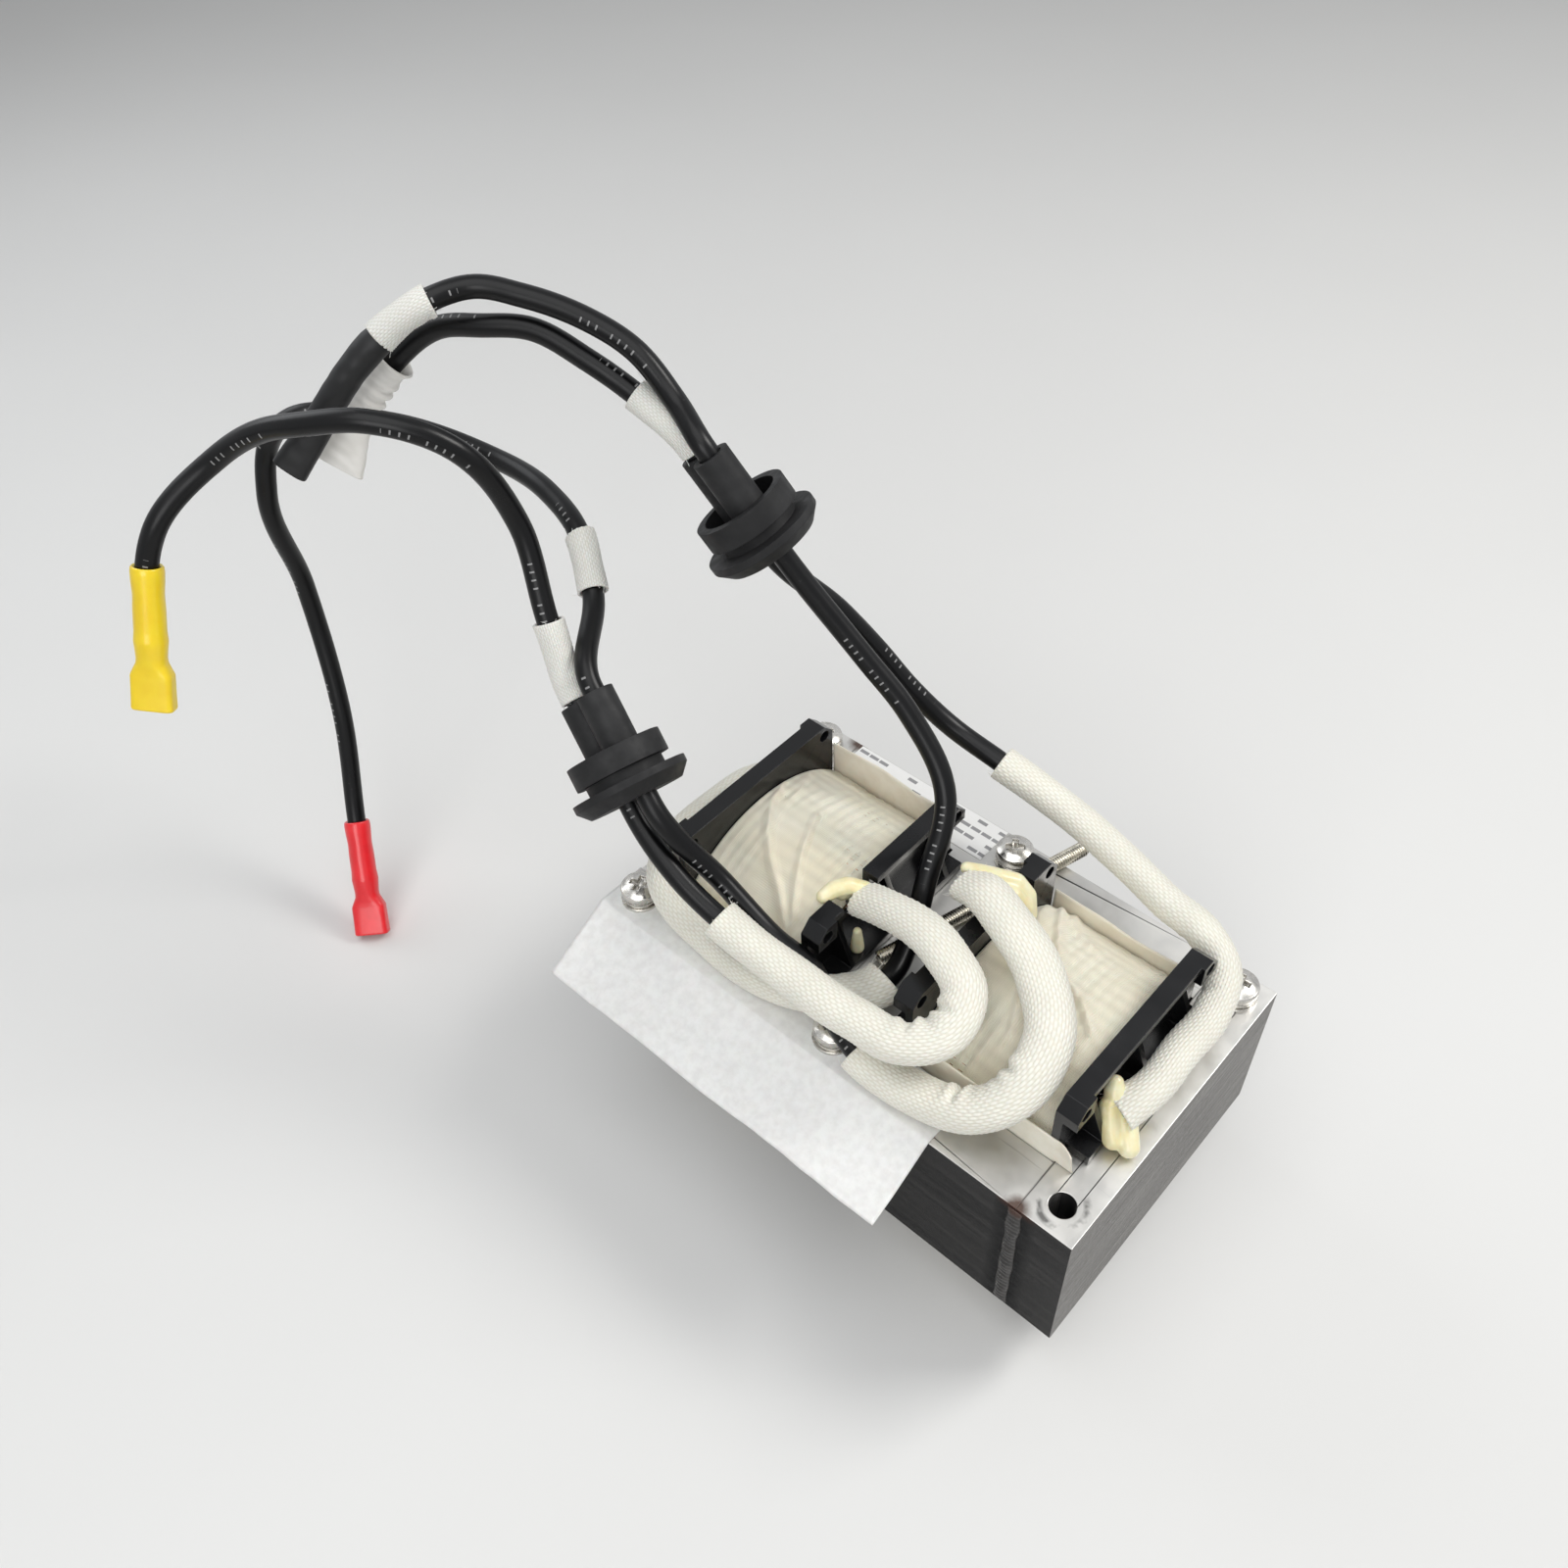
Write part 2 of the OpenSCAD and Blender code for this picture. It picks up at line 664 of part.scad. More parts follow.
// A tube shrunk over the end of a lead, closed past the lead's own end
module shrink(p, span) {
    difference() {
        sweep(p, span[0], span[1], shrink_d / 2);
        sweep(p, span[0], span[1] - 1, lead_r + lead_fit, [over, lead_fit]);
    }
}

module shrink_white() { color("whitesmoke") shrink(white_points, white_shrink); }

module shrink_black() { color("#181818") shrink(black_points, black_shrink); }

// Grommets, standing on the underside of the flange

module grommet() {
    groove_z = grommet_flange_t + groove_w;
    collar_z = groove_z + collar_h;
    floor_z = collar_z - recess_depth;
    color("#1b1b1b") difference() {
        union() {
            rotate_extrude() polygon([
                [0, 0], [grommet_d / 2 - rim_cut, 0], [grommet_d / 2, grommet_flange_t - rim_land],
                [grommet_d / 2, grommet_flange_t], [groove_d / 2, grommet_flange_t],
                [groove_d / 2, groove_z], [collar_d / 2, groove_z], [collar_d / 2, collar_z],
                [recess_d / 2, collar_z], [recess_d / 2, floor_z], [0, floor_z]
            ]);
            for (side = [-1, 1])
                translate([side * nozzle_pitch / 2, 0, floor_z / 2])
                    cylinder(h = grommet_h - floor_z / 2, d = nozzle_d);
        }
        for (side = [-1, 1])
            translate([side * nozzle_pitch / 2, 0, -over])
                cylinder(h = grommet_h + 2 * over, r = lead_r + lead_fit);
    }
}

module grommet_upper() {
    on_line(upper_at, upper_at + axis_of(upper_turn), pair_of(upper_turn)) grommet();
}

module grommet_lower() {
    on_line(lower_at, lower_at + axis_of(lower_turn), pair_of(lower_turn)) grommet();
}

// Terminals and their covers, standing on the end where the lead goes in

module at_end(p) {
    last = len(p) - 1;
    on_line(p[last - 1], p[last], mouth_side) children();
}

// Length of lead that the cover takes in
function grip(p) = norm(p[len(p) - 1] - p[len(p) - 2]);

// A slab with the section of the cover's mouth, grown by more on each side
module mouth_slab(h, more) {
    w = cover_mouth_w + 2 * more;
    d = cover_mouth_h + 2 * more;
    translate([-w / 2, -d / 2, 0]) cube([w, d, h]);
}

module cover(p) {
    at_end(p) difference() {
        union() {
            cylinder(h = cover_barrel_l, d = cover_barrel_d);
            hull() {
                translate([0, 0, cover_barrel_l - slice_t])
                    cylinder(h = slice_t, d = cover_barrel_d, $fn = 32);
                translate([0, 0, mouth_z]) mouth_slab(slice_t, 0);
            }
            translate([0, 0, mouth_z]) mouth_slab(cover_l - mouth_z, 0);
        }
        translate([0, 0, -over]) cylinder(h = grip(p) + over + lead_fit, r = lead_r + lead_fit);
        cylinder(h = mouth_z + terminal_t + 2 * lead_fit, d = terminal_barrel_d + 2 * lead_fit);
        translate([0, 0, mouth_z]) mouth_slab(cover_l, -cover_wall);
    }
}

// A crimp barrel with a receptacle whose rolled sides hold the tab
module terminal(p) {
    floor_z = mouth_z + lead_fit;
    w = tab_w + 2 * terminal_t;
    t = tab_t + 2 * terminal_t;
    color("silver") at_end(p) difference() {
        union() {
            translate([0, 0, grip(p)])
                cylinder(h = floor_z + terminal_t - grip(p), d = terminal_barrel_d);
            translate([-w / 2, -t / 2, floor_z]) cube([w, t, receptacle_l - lead_fit]);
        }
        translate([-tab_w / 2, -tab_t / 2, floor_z + terminal_t])
            cube([tab_w, tab_t, receptacle_l]);
    }
}

module cover_yellow() { color("gold") cover(yellow_points); }

module cover_red() { color("crimson") cover(red_points); }

module terminal_yellow() { terminal(yellow_points); }

module terminal_red() { terminal(red_points); }

// Glue at the coil exits: round blobs, each [along, across, up, radius] from a
// corner of the flange that holds it, less the pieces that they stick to

module blobs(from, places) {
    hull() for (b = places)
        translate(from + [b[0], b[1], b[2]]) sphere(r = b[3], $fn = 20);
}

module glue_left_inner() {
    color("khaki") difference() {
        on_left() blobs(notch_floor, [[1.7, 1.5, 6.4, 2.6], [1.7, -3, 7.4, 2.4], [5.2, 0.5, 5.9, 2.2]]);
        sweep(yellow_points, 0, 1, lead_r + glue_fit, [over, over]);
        sweep(yellow_points, 1, 3, sleeve_wide_d / 2 + glue_fit, [over, over]);
    }
}

module glue_right_inner() {
    color("khaki") difference() {
        blobs(notch_floor, [[1.7, 0, 6, 2.6], [7.7, -3, 5.8, 2.2], [-0.3, -3.2, 9.4, 2.5]]);
        sweep(red_points, 0, 3, sleeve_wide_d / 2 + glue_fit, [over, over]);
    }
}

module glue_right_outer() {
    color("khaki") difference() {
        blobs(exit_floor, [[2.9, -1, 6.6, 2.6], [3.3, -7, 2.5, 2.3], [8.5, -9, -0.4, 2.3]]);
        sweep(white_points, 0, 2, sleeve_slim_d / 2 + glue_fit, [over, over]);
        translate([outer_face - over, -gusset_pitch - gusset_t / 2 - glue_fit, 0])
            cube([foot_out + over + glue_fit, gusset_t + 2 * glue_fit, flange_top]);
        translate([0, -foot_w / 2 - glue_fit, 0])
            cube([outer_face + foot_out + glue_fit, foot_w, exit_z + glue_fit]);
    }
}

core_e_stack();
core_yoke_left();
core_yoke_right();
weld_front_left();
weld_front_right();
weld_rear_left();
weld_rear_right();
bobbin_left();
bobbin_right();
winding_left();
winding_right();
tape_left();
tape_right();
liner_rear_left();
liner_rear_right();
liner_front_left();
liner_front_right();
insulation_sheet();
rating_label();
mounting_screws();
spring_washers();
flat_washers();
threaded_rod();
lead_white();
lead_black();
lead_yellow();
lead_red();
sleeve_white();
sleeve_black();
sleeve_yellow();
sleeve_red();
marker_white();
marker_black();
marker_yellow();
marker_red();
grommet_upper();
grommet_lower();
terminal_yellow();
terminal_red();
cover_yellow();
cover_red();
shrink_white();
shrink_black();
glue_left_inner();
glue_right_inner();
glue_right_outer();
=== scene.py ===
"""Looks of a laminated chassis transformer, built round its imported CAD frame.

Sizes are in millimetres and turned into metres by MM where a mesh is made.
X runs along the core, Y across it and Z up, with the origin under the core.
"""
import json
import math

import bmesh
import bpy
import numpy as np
from mathutils import Matrix, Vector


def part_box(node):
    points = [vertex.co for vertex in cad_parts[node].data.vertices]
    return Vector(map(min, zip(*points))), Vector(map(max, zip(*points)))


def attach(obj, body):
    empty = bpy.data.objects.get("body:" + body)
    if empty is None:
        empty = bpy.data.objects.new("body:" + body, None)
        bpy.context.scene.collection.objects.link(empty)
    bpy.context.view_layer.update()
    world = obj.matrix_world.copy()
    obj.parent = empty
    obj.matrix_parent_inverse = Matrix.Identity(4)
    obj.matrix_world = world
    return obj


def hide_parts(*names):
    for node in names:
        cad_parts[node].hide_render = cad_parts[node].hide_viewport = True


MM = 0.001
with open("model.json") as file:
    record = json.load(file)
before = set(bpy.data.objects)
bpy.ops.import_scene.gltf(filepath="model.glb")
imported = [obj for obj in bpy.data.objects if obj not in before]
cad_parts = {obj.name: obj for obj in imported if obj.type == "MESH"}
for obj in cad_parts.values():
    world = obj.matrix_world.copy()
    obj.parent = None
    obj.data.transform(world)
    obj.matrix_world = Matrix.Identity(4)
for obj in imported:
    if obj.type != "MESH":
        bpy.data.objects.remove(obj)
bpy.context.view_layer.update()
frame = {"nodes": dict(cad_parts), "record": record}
scene = bpy.context.scene
rng = np.random.default_rng(7)


def box_mm(node):
    """Lowest and highest corner of a CAD node, in millimetres."""
    low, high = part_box(node)
    return np.array(low) / MM, np.array(high) / MM


# Sizes read from the frame
SEAM_X, CORE_HALF_W, CORE_TOP = box_mm("core_e_stack")[1]
CORE_HALF_L = box_mm("core_yoke_right")[1][0]
FLOOR_Z = box_mm("bobbin_right")[0][2]

# Core: width of an outer leg, places of the corner holes, thickness of a sheet, and the
# radius of the worn ring that a washer left at the empty hole, front right
LEG_W = 14.0
HOLE_X = (SEAM_X + CORE_HALF_L) / 2
HOLE_Y = CORE_HALF_W - LEG_W / 2
SHEET_T = 0.5
WORN_R = 5.2

# Cloth tape: spacing of its ribs and threads, and the width of one turn
TAPE_RIB = 0.55
TAPE_THREAD = 0.45
TAPE_BAND = 2.9

# Print: which of the 24 columns of a lead, and the label's rows and length of a bar
PRINT_COLUMN = 7.0
LABEL_ROWS = 4
LABEL_BAR = 3.3

# Distance between two turns of the copper windings
WIRE_PITCH = 1.4


# ---------------------------------------------------------------- materials

def add_node(tree, kind, *inputs, **named):
    """A node with its inputs set or linked, in order or by name. Small letters name settings."""
    made = tree.nodes.new(kind)
    for key, value in named.items():
        if key[0].islower():
            setattr(made, key, value)
    pairs = [(made.inputs[i], value) for i, value in enumerate(inputs)]
    pairs += [(made.inputs[key.replace("_", " ")], value) for key, value in named.items() if key[0].isupper()]
    for socket, value in pairs:
        if isinstance(value, bpy.types.NodeSocket):
            tree.links.new(value, socket)
        elif value is not None:
            socket.default_value = value
    return made


def rgba(color):
    return color if isinstance(color, bpy.types.NodeSocket) else (*color, 1)


class Paint:
    """One procedural material on the Principled shader."""

    def __init__(self, name, color, rough, **sockets):
        self.material = bpy.data.materials.new(name)
        self.material.use_nodes = True
        self.tree = self.material.node_tree
        self.shader = self.tree.nodes["Principled BSDF"]
        self.shader.inputs["Base Color"].default_value = (*color, 1)
        self.shader.inputs["Roughness"].default_value = rough
        for key, value in sockets.items():
            self.shader.inputs[key.replace("_", " ")].default_value = value
        self.place = self.node("ShaderNodeTexCoord").outputs["Object"]

    def node(self, kind, *inputs, **named):
        return add_node(self.tree, kind, *inputs, **named)

    def math(self, operation, a, b=0.0):
        return self.node("ShaderNodeMath", a, b, operation=operation).outputs[0]

    def times(self, a, b):
        return self.math("MULTIPLY", a, b)

    def over(self, a, b):
        return self.math("DIVIDE", a, b)

    def gap(self, a, b):
        """How far a is from b."""
        return self.math("ABSOLUTE", self.math("SUBTRACT", a, b))

    def far(self, a, b):
        """Length of the flat vector (a, b)."""
        squares = self.math("ADD", self.math("POWER", a, 2.0), self.math("POWER", b, 2.0))
        return self.math("SQRT", squares)

    def share_of(self, value, pitch):
        """Where a value stands within its pitch, from 0 to 1."""
        return self.math("FRACT", self.over(value, pitch))

    def noise(self, scale, detail=3.0, stretch=None):
        """Noise from 0 to 1, with so many cells to the metre, or to a stretched one."""
        source = self.place
        if stretch is not None:
            source = self.node("ShaderNodeMapping", source, Scale=stretch).outputs[0]
        return self.node("ShaderNodeTexNoise", source, Scale=scale, Detail=detail,
                         Roughness=0.55).outputs[0]

    def axis(self, i, source=None):
        return self.node("ShaderNodeSeparateXYZ", source or self.place).outputs[i]

    def faces(self, i):
        """1 on the faces that look along an axis, either way, and 0 on the others."""
        normal = self.node("ShaderNodeNewGeometry").outputs["True Normal"]
        return self.ramp(self.math("ABSOLUTE", self.axis(i, normal)), 0.6, 0.8)

    def map(self, i):
        return self.axis(i, self.node("ShaderNodeUVMap", uv_map="skin").outputs[0])

    def ramp(self, value, low, high, to_low=0.0, to_high=1.0):
        """value taken from low..high to to_low..to_high, and held there outside."""
        return self.node("ShaderNodeMapRange", value, low, high, to_low, to_high).outputs[0]

    def cloud(self, scale, detail, low, high, most=1.0):
        return self.ramp(self.noise(scale, detail), low, high, 0.0, most)

    def mix(self, share, a, b):
        number_sockets = [None] * 5
        return self.node("ShaderNodeMix", share, *number_sockets, rgba(a), rgba(b),
                         data_type="RGBA").outputs[2]

    def send(self, socket, value):
        self.tree.links.new(value, self.shader.inputs[socket])

    def color(self, share, a, b):
        self.send("Base Color", self.mix(share, a, b))

    def gloss(self, scale, detail, low, high):
        """Roughness in patches between low and high."""
        self.send("Roughness", self.ramp(self.noise(scale, detail), 0.3, 0.7, low, high))

    def bump(self, height, depth, under=None):
        """Bump whose height of 1 stands depth millimetres high, sent to the shader."""
        bumped = self.node("ShaderNodeBump", Strength=1.0, Distance=depth * MM, Height=height,
                           Normal=under).outputs[0]
        self.send("Normal", bumped)
        return bumped

    def random(self, value):
        """A random number from 0 to 1 for each whole value."""
        return self.node("ShaderNodeTexWhiteNoise", W=value, noise_dimensions="1D").outputs[0]


def simple(name, rough, light, dark, cloud, gloss=None, grain=None, **sockets):
    """Two tones in clouds. cloud is (scale, detail, low, high), gloss the same for the
    roughness, and grain is (scale, detail, depth in millimetres)."""
    p = Paint(name, light, rough, **sockets)
    p.color(p.cloud(*cloud), light, dark)
    if gloss:
        p.gloss(*gloss)
    if grain:
        p.bump(p.noise(*grain[:2]), grain[2])
    return p.material


def core_top(p, seam):
    """Ground steel: a worn ring at the empty hole, scratches, the seam and its burnt end."""
    top = p.mix(p.cloud(38.0, 4.0, 0.35, 0.7), (0.70, 0.69, 0.66), (0.46, 0.45, 0.43))
    from_hole = p.far(p.gap(p.axis(0), HOLE_X * MM), p.gap(p.axis(1), -HOLE_Y * MM))
    ring = p.ramp(p.gap(from_hole, WORN_R * MM), 0.0003, 0.0011, 1.0, 0.0)
    worn = p.cloud(170.0, 3.0, 0.46, 0.56, 0.8)
    top = p.mix(p.times(ring, worn), top, (0.07, 0.068, 0.065))
    scratch = p.ramp(p.noise(90.0, 2.0, (0.35, 6.0, 1.0)), 0.66, 0.72, 0.0, 0.35)
    top = p.mix(scratch, top, (0.16, 0.155, 0.15))
    top = p.mix(p.ramp(seam, 0.0, 0.00035, 0.85, 0.0), top, (0.05, 0.048, 0.045))
    from_edge = p.gap(p.math("ABSOLUTE", p.axis(1)), CORE_HALF_W * MM)
    ragged = p.times(p.noise(420.0, 3.0), 0.002)
    burn = p.ramp(p.math("ADD", p.far(seam, from_edge), ragged), 0.0025, 0.0048, 0.9, 0.0)
    return p.mix(burn, top, (0.075, 0.035, 0.022))


def core_steel():
    """Stack of sheets: bright on top, dark in front (the sheet edges' own dark colour, with painted shade on
    top of it), brushed on the ends, burnt at the seams.
    """
    p = Paint("core_steel", (0.60, 0.59, 0.56), 0.34, Metallic=0.9)
    on_top, on_end = p.faces(2), p.faces(0)
    level = p.over(p.axis(2), SHEET_T * MM)
    edge = p.ramp(p.gap(p.math("FRACT", level), 0.5), 0.30, 0.5)
    sheet = p.random(p.math("FLOOR", level))
    seam = p.gap(p.math("ABSOLUTE", p.axis(0)), SEAM_X * MM)
    streak = p.noise(60.0, 3.0, (0.25, 12.0, 12.0))
    # Front faces: near-black partly from the sheet edges' own colour and partly painted shade.
    front = p.mix(p.ramp(streak, 0.4, 0.72), (0.016, 0.0155, 0.016), (0.060, 0.058, 0.057))
    front = p.mix(p.times(edge, 0.6), front, (0.006, 0.006, 0.006))
    ragged = p.math("ADD", seam, p.times(p.noise(260.0, 3.0), 0.002))
    scorch = p.ramp(ragged, 0.004, 0.0065, 0.95, 0.0)
    near_top = p.ramp(p.axis(2), (CORE_TOP - 2.5) * MM, CORE_TOP * MM)
    burnt = p.mix(near_top, (0.005, 0.005, 0.0055), (0.060, 0.024, 0.015))
    brushed = p.noise(70.0, 3.0, (1.0, 0.5, 10.0))
    end = p.mix(p.ramp(brushed, 0.3, 0.75), (0.15, 0.146, 0.142), (0.30, 0.29, 0.28))
    end = p.mix(p.times(edge, 0.45), end, (0.07, 0.066, 0.063))
    end = p.mix(p.times(sheet, 0.25), end, (0.30, 0.29, 0.27))
    side = p.mix(on_end, p.mix(scorch, front, burnt), end)
    p.color(on_top, side, core_top(p, seam))
    rough_side = p.ramp(streak, 0.3, 0.8, 0.42, 0.62)
    rough_top = p.ramp(p.noise(160.0, 5.0), 0.3, 0.7, 0.32, 0.50)
    rough = p.node("ShaderNodeMix", on_top, None, rough_side, rough_top, data_type="FLOAT")
    p.send("Roughness", rough.outputs[0])
    lines = p.times(edge, p.ramp(on_top, 0.0, 1.0, -1.0, 0.0))
    p.bump(lines, 0.10, p.bump(p.noise(900.0, 2.0, (0.3, 1.0, 1.0)), 0.012))
    return p.material


def weld_metal():
    p = Paint("weld_steel", (0.02, 0.018, 0.016), 0.3, Metallic=0.2)
    tint = p.mix(p.cloud(320.0, 4.0, 0.35, 0.65), (0.008, 0.0075, 0.0075), (0.030, 0.026, 0.024))
    near_top = p.ramp(p.axis(2), (CORE_TOP - 3) * MM, CORE_TOP * MM)
    p.color(near_top, tint, (0.09, 0.04, 0.025))
    p.gloss(500.0, 3.0, 0.2, 0.45)
    return p.material


def lead_insulation():
    """Black lead with a row of plain printed ticks. The map's unit is 1 mm along and 1/24 turn round."""
    p = Paint("lead_insulation", (0.003, 0.003, 0.0033), 0.34, Specular_IOR_Level=0.25)
    p.gloss(60.0, 4.0, 0.24, 0.38)
    p.bump(p.noise(220.0, 2.0), 0.03)
    dust = p.cloud(700.0, 2.0, 0.72, 0.80, 0.2)
    black = p.mix(dust, (0.003, 0.003, 0.0033), (0.08, 0.08, 0.08))
    run = p.map(1)
    strip = p.ramp(p.gap(p.map(0), PRINT_COLUMN), 0.7, 0.95, 1.0, 0.0)
    tick = p.ramp(p.share_of(run, 1.9), 0.16, 0.24, 0.55, 0.0)
    word = p.math("LESS_THAN", p.share_of(run, 47.0), 0.42)
    group = p.math("GREATER_THAN", p.share_of(run, 9.5), 0.2)
    p.color(p.times(p.times(strip, tick), p.times(word, group)), black, (0.5, 0.5, 0.5))
    return p.material


def wave(p, value, count=1, kind="SINE"):
    return p.math(kind, p.times(value, count * math.tau))


def braid(name, light, dark):
    """Woven glass yarn, with painted shade in the hollows between its stitches. The map's unit is one cell of
    the braid.
    """
    p = Paint(name, light, 0.62, Sheen_Weight=0.25, Sheen_Roughness=0.5, Subsurface_Weight=0.06,
              Subsurface_Scale=0.0012)
    across, along = wave(p, p.map(0), 1, "COSINE"), wave(p, p.map(1), 1, "COSINE")
    stitch = p.ramp(p.times(p.math("SIGN", across), along), -1.0, 0.5, 0.35, 1.0)
    cell = p.times(p.math("POWER", p.math("ABSOLUTE", across), 0.6), stitch)
    # The dark colour is painted shade in the hollows between stitches.
    hollow_shade = p.ramp(cell, 0.1, 0.75, 0.5, 0.0)
    tone = p.mix(p.cloud(120.0, 3.0, 0.35, 0.65), light, tuple(0.94 * c for c in light))
    p.color(hollow_shade, tone, dark)
    p.bump(wave(p, p.map(0), 6), 0.01, p.bump(cell, 0.13))
    return p.material


def cloth_tape():
    """Cream cloth, with painted shade in the troughs of its ribs and in the grooves between two turns."""
    p = Paint("cloth_tape", (0.80, 0.75, 0.62), 0.66, Sheen_Weight=0.2, Sheen_Roughness=0.5,
              Subsurface_Weight=0.1, Subsurface_Scale=0.001)
    rib = wave(p, p.math("ADD", p.map(1), p.times(p.noise(130.0, 2.0), 0.9)))
    tone = p.mix(p.cloud(55.0, 3.0, 0.35, 0.68), (0.86, 0.82, 0.69), (0.77, 0.715, 0.56))
    # Painted shade in the grooves between two turns of tape, in patches.
    groove_shade = p.ramp(p.gap(p.share_of(p.map(0), TAPE_BAND / TAPE_THREAD), 0.5), 0.05, 0.5)
    groove_shade = p.times(groove_shade, p.ramp(p.noise(60.0, 3.0), 0.40, 0.62, 0.05, 0.42))
    tone = p.mix(groove_shade, tone, (0.56, 0.51, 0.40))
    # Painted shade in the troughs between the ribs.
    p.color(p.ramp(rib, -1.0, 0.2, 0.14, 0.0), tone, (0.50, 0.44, 0.32))
    p.bump(wave(p, p.map(0)), 0.012, p.bump(rib, 0.035))
    return p.material


def label_paper():
    """White label with rows of plain grey bars."""
    p = Paint("label_paper", (0.88, 0.88, 0.875), 0.45)
    low, high = box_mm("rating_label")
    x = p.math("SUBTRACT", p.axis(0), low[0] * MM)
    y = p.math("SUBTRACT", p.axis(1), low[1] * MM)
    row = p.over(y, (high[1] - low[1]) / LABEL_ROWS * MM)
    bar = p.ramp(p.gap(p.math("FRACT", row), 0.5), 0.16, 0.2, 0.75, 0.0)
    column = p.over(x, LABEL_BAR * MM)
    number = p.math("ADD", p.math("FLOOR", column), p.times(p.math("FLOOR", row), 31.0))
    inked = p.math("GREATER_THAN", p.random(number), 0.42)
    apart = p.math("GREATER_THAN", p.math("FRACT", column), 0.14)
    p.color(p.times(p.times(bar, inked), apart), (0.88, 0.88, 0.875), (0.10, 0.10, 0.11))
    p.bump(p.noise(500.0, 3.0), 0.01)
    return p.material


def copper_wire():
    p = Paint("copper", (0.55, 0.25, 0.10), 0.35, Metallic=0.8)
    turn = wave(p, p.axis(0), 1 / (WIRE_PITCH * MM))
    # Painted shade in the grooves between two turns of wire.
    p.color(p.ramp(turn, -1, 0.4), (0.16, 0.06, 0.03), (0.58, 0.27, 0.12))
    p.bump(turn, 0.15)
    return p.material


def paper(name, light, dark, grain=260.0):
    return simple(name, 0.6, light, dark, (grain, 5.0, 0.38, 0.66), (90.0, 3.0, 0.5, 0.7),
                  (800.0, 3.0, 0.02), Subsurface_Weight=0.08, Subsurface_Scale=0.001)


def bright(name, color):
    return simple(name, 0.2, color, tuple(0.6 * c for c in color), (420.0, 4.0, 0.45, 0.75),
                  (600.0, 3.0, 0.14, 0.34), Metallic=1.0)


def vinyl(name, color, deep):
    return simple(name, 0.3, color, deep, (150.0, 3.0, 0.35, 0.7), None, (260.0, 3.0, 0.06),
                  Subsurface_Weight=0.15, Subsurface_Scale=0.001, Coat_Weight=0.25, Coat_Roughness=0.15)


def shrink_tube(name, rough, color, deep):
    return simple(name, rough, color, deep, (130.0, 3.0, 0.35, 0.7), None, (900.0, 2.0, 0.01),
                  Specular_IOR_Level=0.35)


MATERIALS = {
    "core_steel": core_steel(),
    "weld_steel": weld_metal(),
    "bobbin_plastic": simple("bobbin_plastic", 0.22, (0.005, 0.005, 0.0055), (0.012, 0.012, 0.0125),
                             (45.0, 4.0, 0.45, 0.75), (90.0, 4.0, 0.14, 0.32), (140.0, 2.0, 0.05),
                             Specular_IOR_Level=0.35),
    "copper": copper_wire(),
    "cloth_tape": cloth_tape(),
    "paper": paper("paper", (0.87, 0.83, 0.72), (0.81, 0.76, 0.64)),
    "white_sheet": paper("white_sheet", (0.86, 0.855, 0.84), (0.78, 0.77, 0.755), 500.0),
    "label_paper": label_paper(),
    "nickel_steel": bright("nickel_steel", (0.63, 0.61, 0.57)),
    "lead_pvc": lead_insulation(),
    # The second colour of a braid is painted shade between its stitches.
    "woven_sleeve": braid("woven_sleeve", (0.90, 0.885, 0.80), (0.60, 0.545, 0.41)),
    "grommet_rubber": simple("grommet_rubber", 0.58, (0.012, 0.012, 0.0125), (0.034, 0.034, 0.035),
                             (110.0, 5.0, 0.42, 0.75, 0.6), (300.0, 3.0, 0.46, 0.68),
                             (900.0, 3.0, 0.03), Specular_IOR_Level=0.25),
    "rod_steel": bright("rod_steel", (0.74, 0.70, 0.60)),
    "terminal_tin": bright("terminal_tin", (0.70, 0.67, 0.60)),
    "yellow_vinyl": vinyl("yellow_vinyl", (0.92, 0.68, 0.015), (0.86, 0.60, 0.010)),
    "red_vinyl": vinyl("red_vinyl", (0.86, 0.022, 0.030), (0.74, 0.013, 0.020)),
    "shrink_white": shrink_tube("shrink_white", 0.38, (0.88, 0.865, 0.83), (0.80, 0.78, 0.735)),
    "shrink_black": shrink_tube("shrink_black", 0.5, (0.007, 0.007, 0.0075), (0.012, 0.012, 0.0125)),
    "glue": simple("glue", 0.32, (0.88, 0.84, 0.58), (0.80, 0.70, 0.36), (240.0, 3.0, 0.35, 0.7),
                   None, (420.0, 2.0, 0.08), Subsurface_Weight=0.2, Subsurface_Scale=0.0015,
                   Coat_Weight=0.2, Coat_Roughness=0.2),
}
# Its second colour is painted shade between the stitches.
MARKER_WEAVE = braid("marker_weave", (0.90, 0.895, 0.85), (0.58, 0.55, 0.45))
SLOT_OF = {row["node"]: row["material_slot"] for row in frame["record"]["subparts"]}


# ------------------------------------------------------------------- meshes

def around(count):
    """Angles of points spread evenly round a circle."""
    return np.arange(count) * math.tau / count


def squared(wave, power):
    """A sine or cosine that gives a squarer form as power gets smaller."""
    return np.sign(wave) * np.abs(wave) ** power


def add_mesh(name, points, faces, material, uvs=None, smooth=True):
    """A piece from points in millimetres, with one map coordinate for each face corner."""
    mesh = bpy.data.meshes.new(name)
    mesh.from_pydata((np.asarray(points) * MM).tolist(), [], np.asarray(faces).tolist()
                     if isinstance(faces, np.ndarray) else faces)
    if uvs is not None:
        layer = mesh.uv_layers.new(name="skin")
        layer.data.foreach_set("uv", np.asarray(uvs, np.float32).ravel())
    mesh.validate()
    mesh.materials.append(material)
    mesh.polygons.foreach_set("use_smooth", [smooth] * len(mesh.polygons))
    made = bpy.data.objects.new(name, mesh)
    scene.collection.objects.link(made)
    return made


def stand_for(piece, node):
    """Rides a piece on the part, in place of a CAD node."""
    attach(piece, "root")
    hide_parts(node)
    return piece


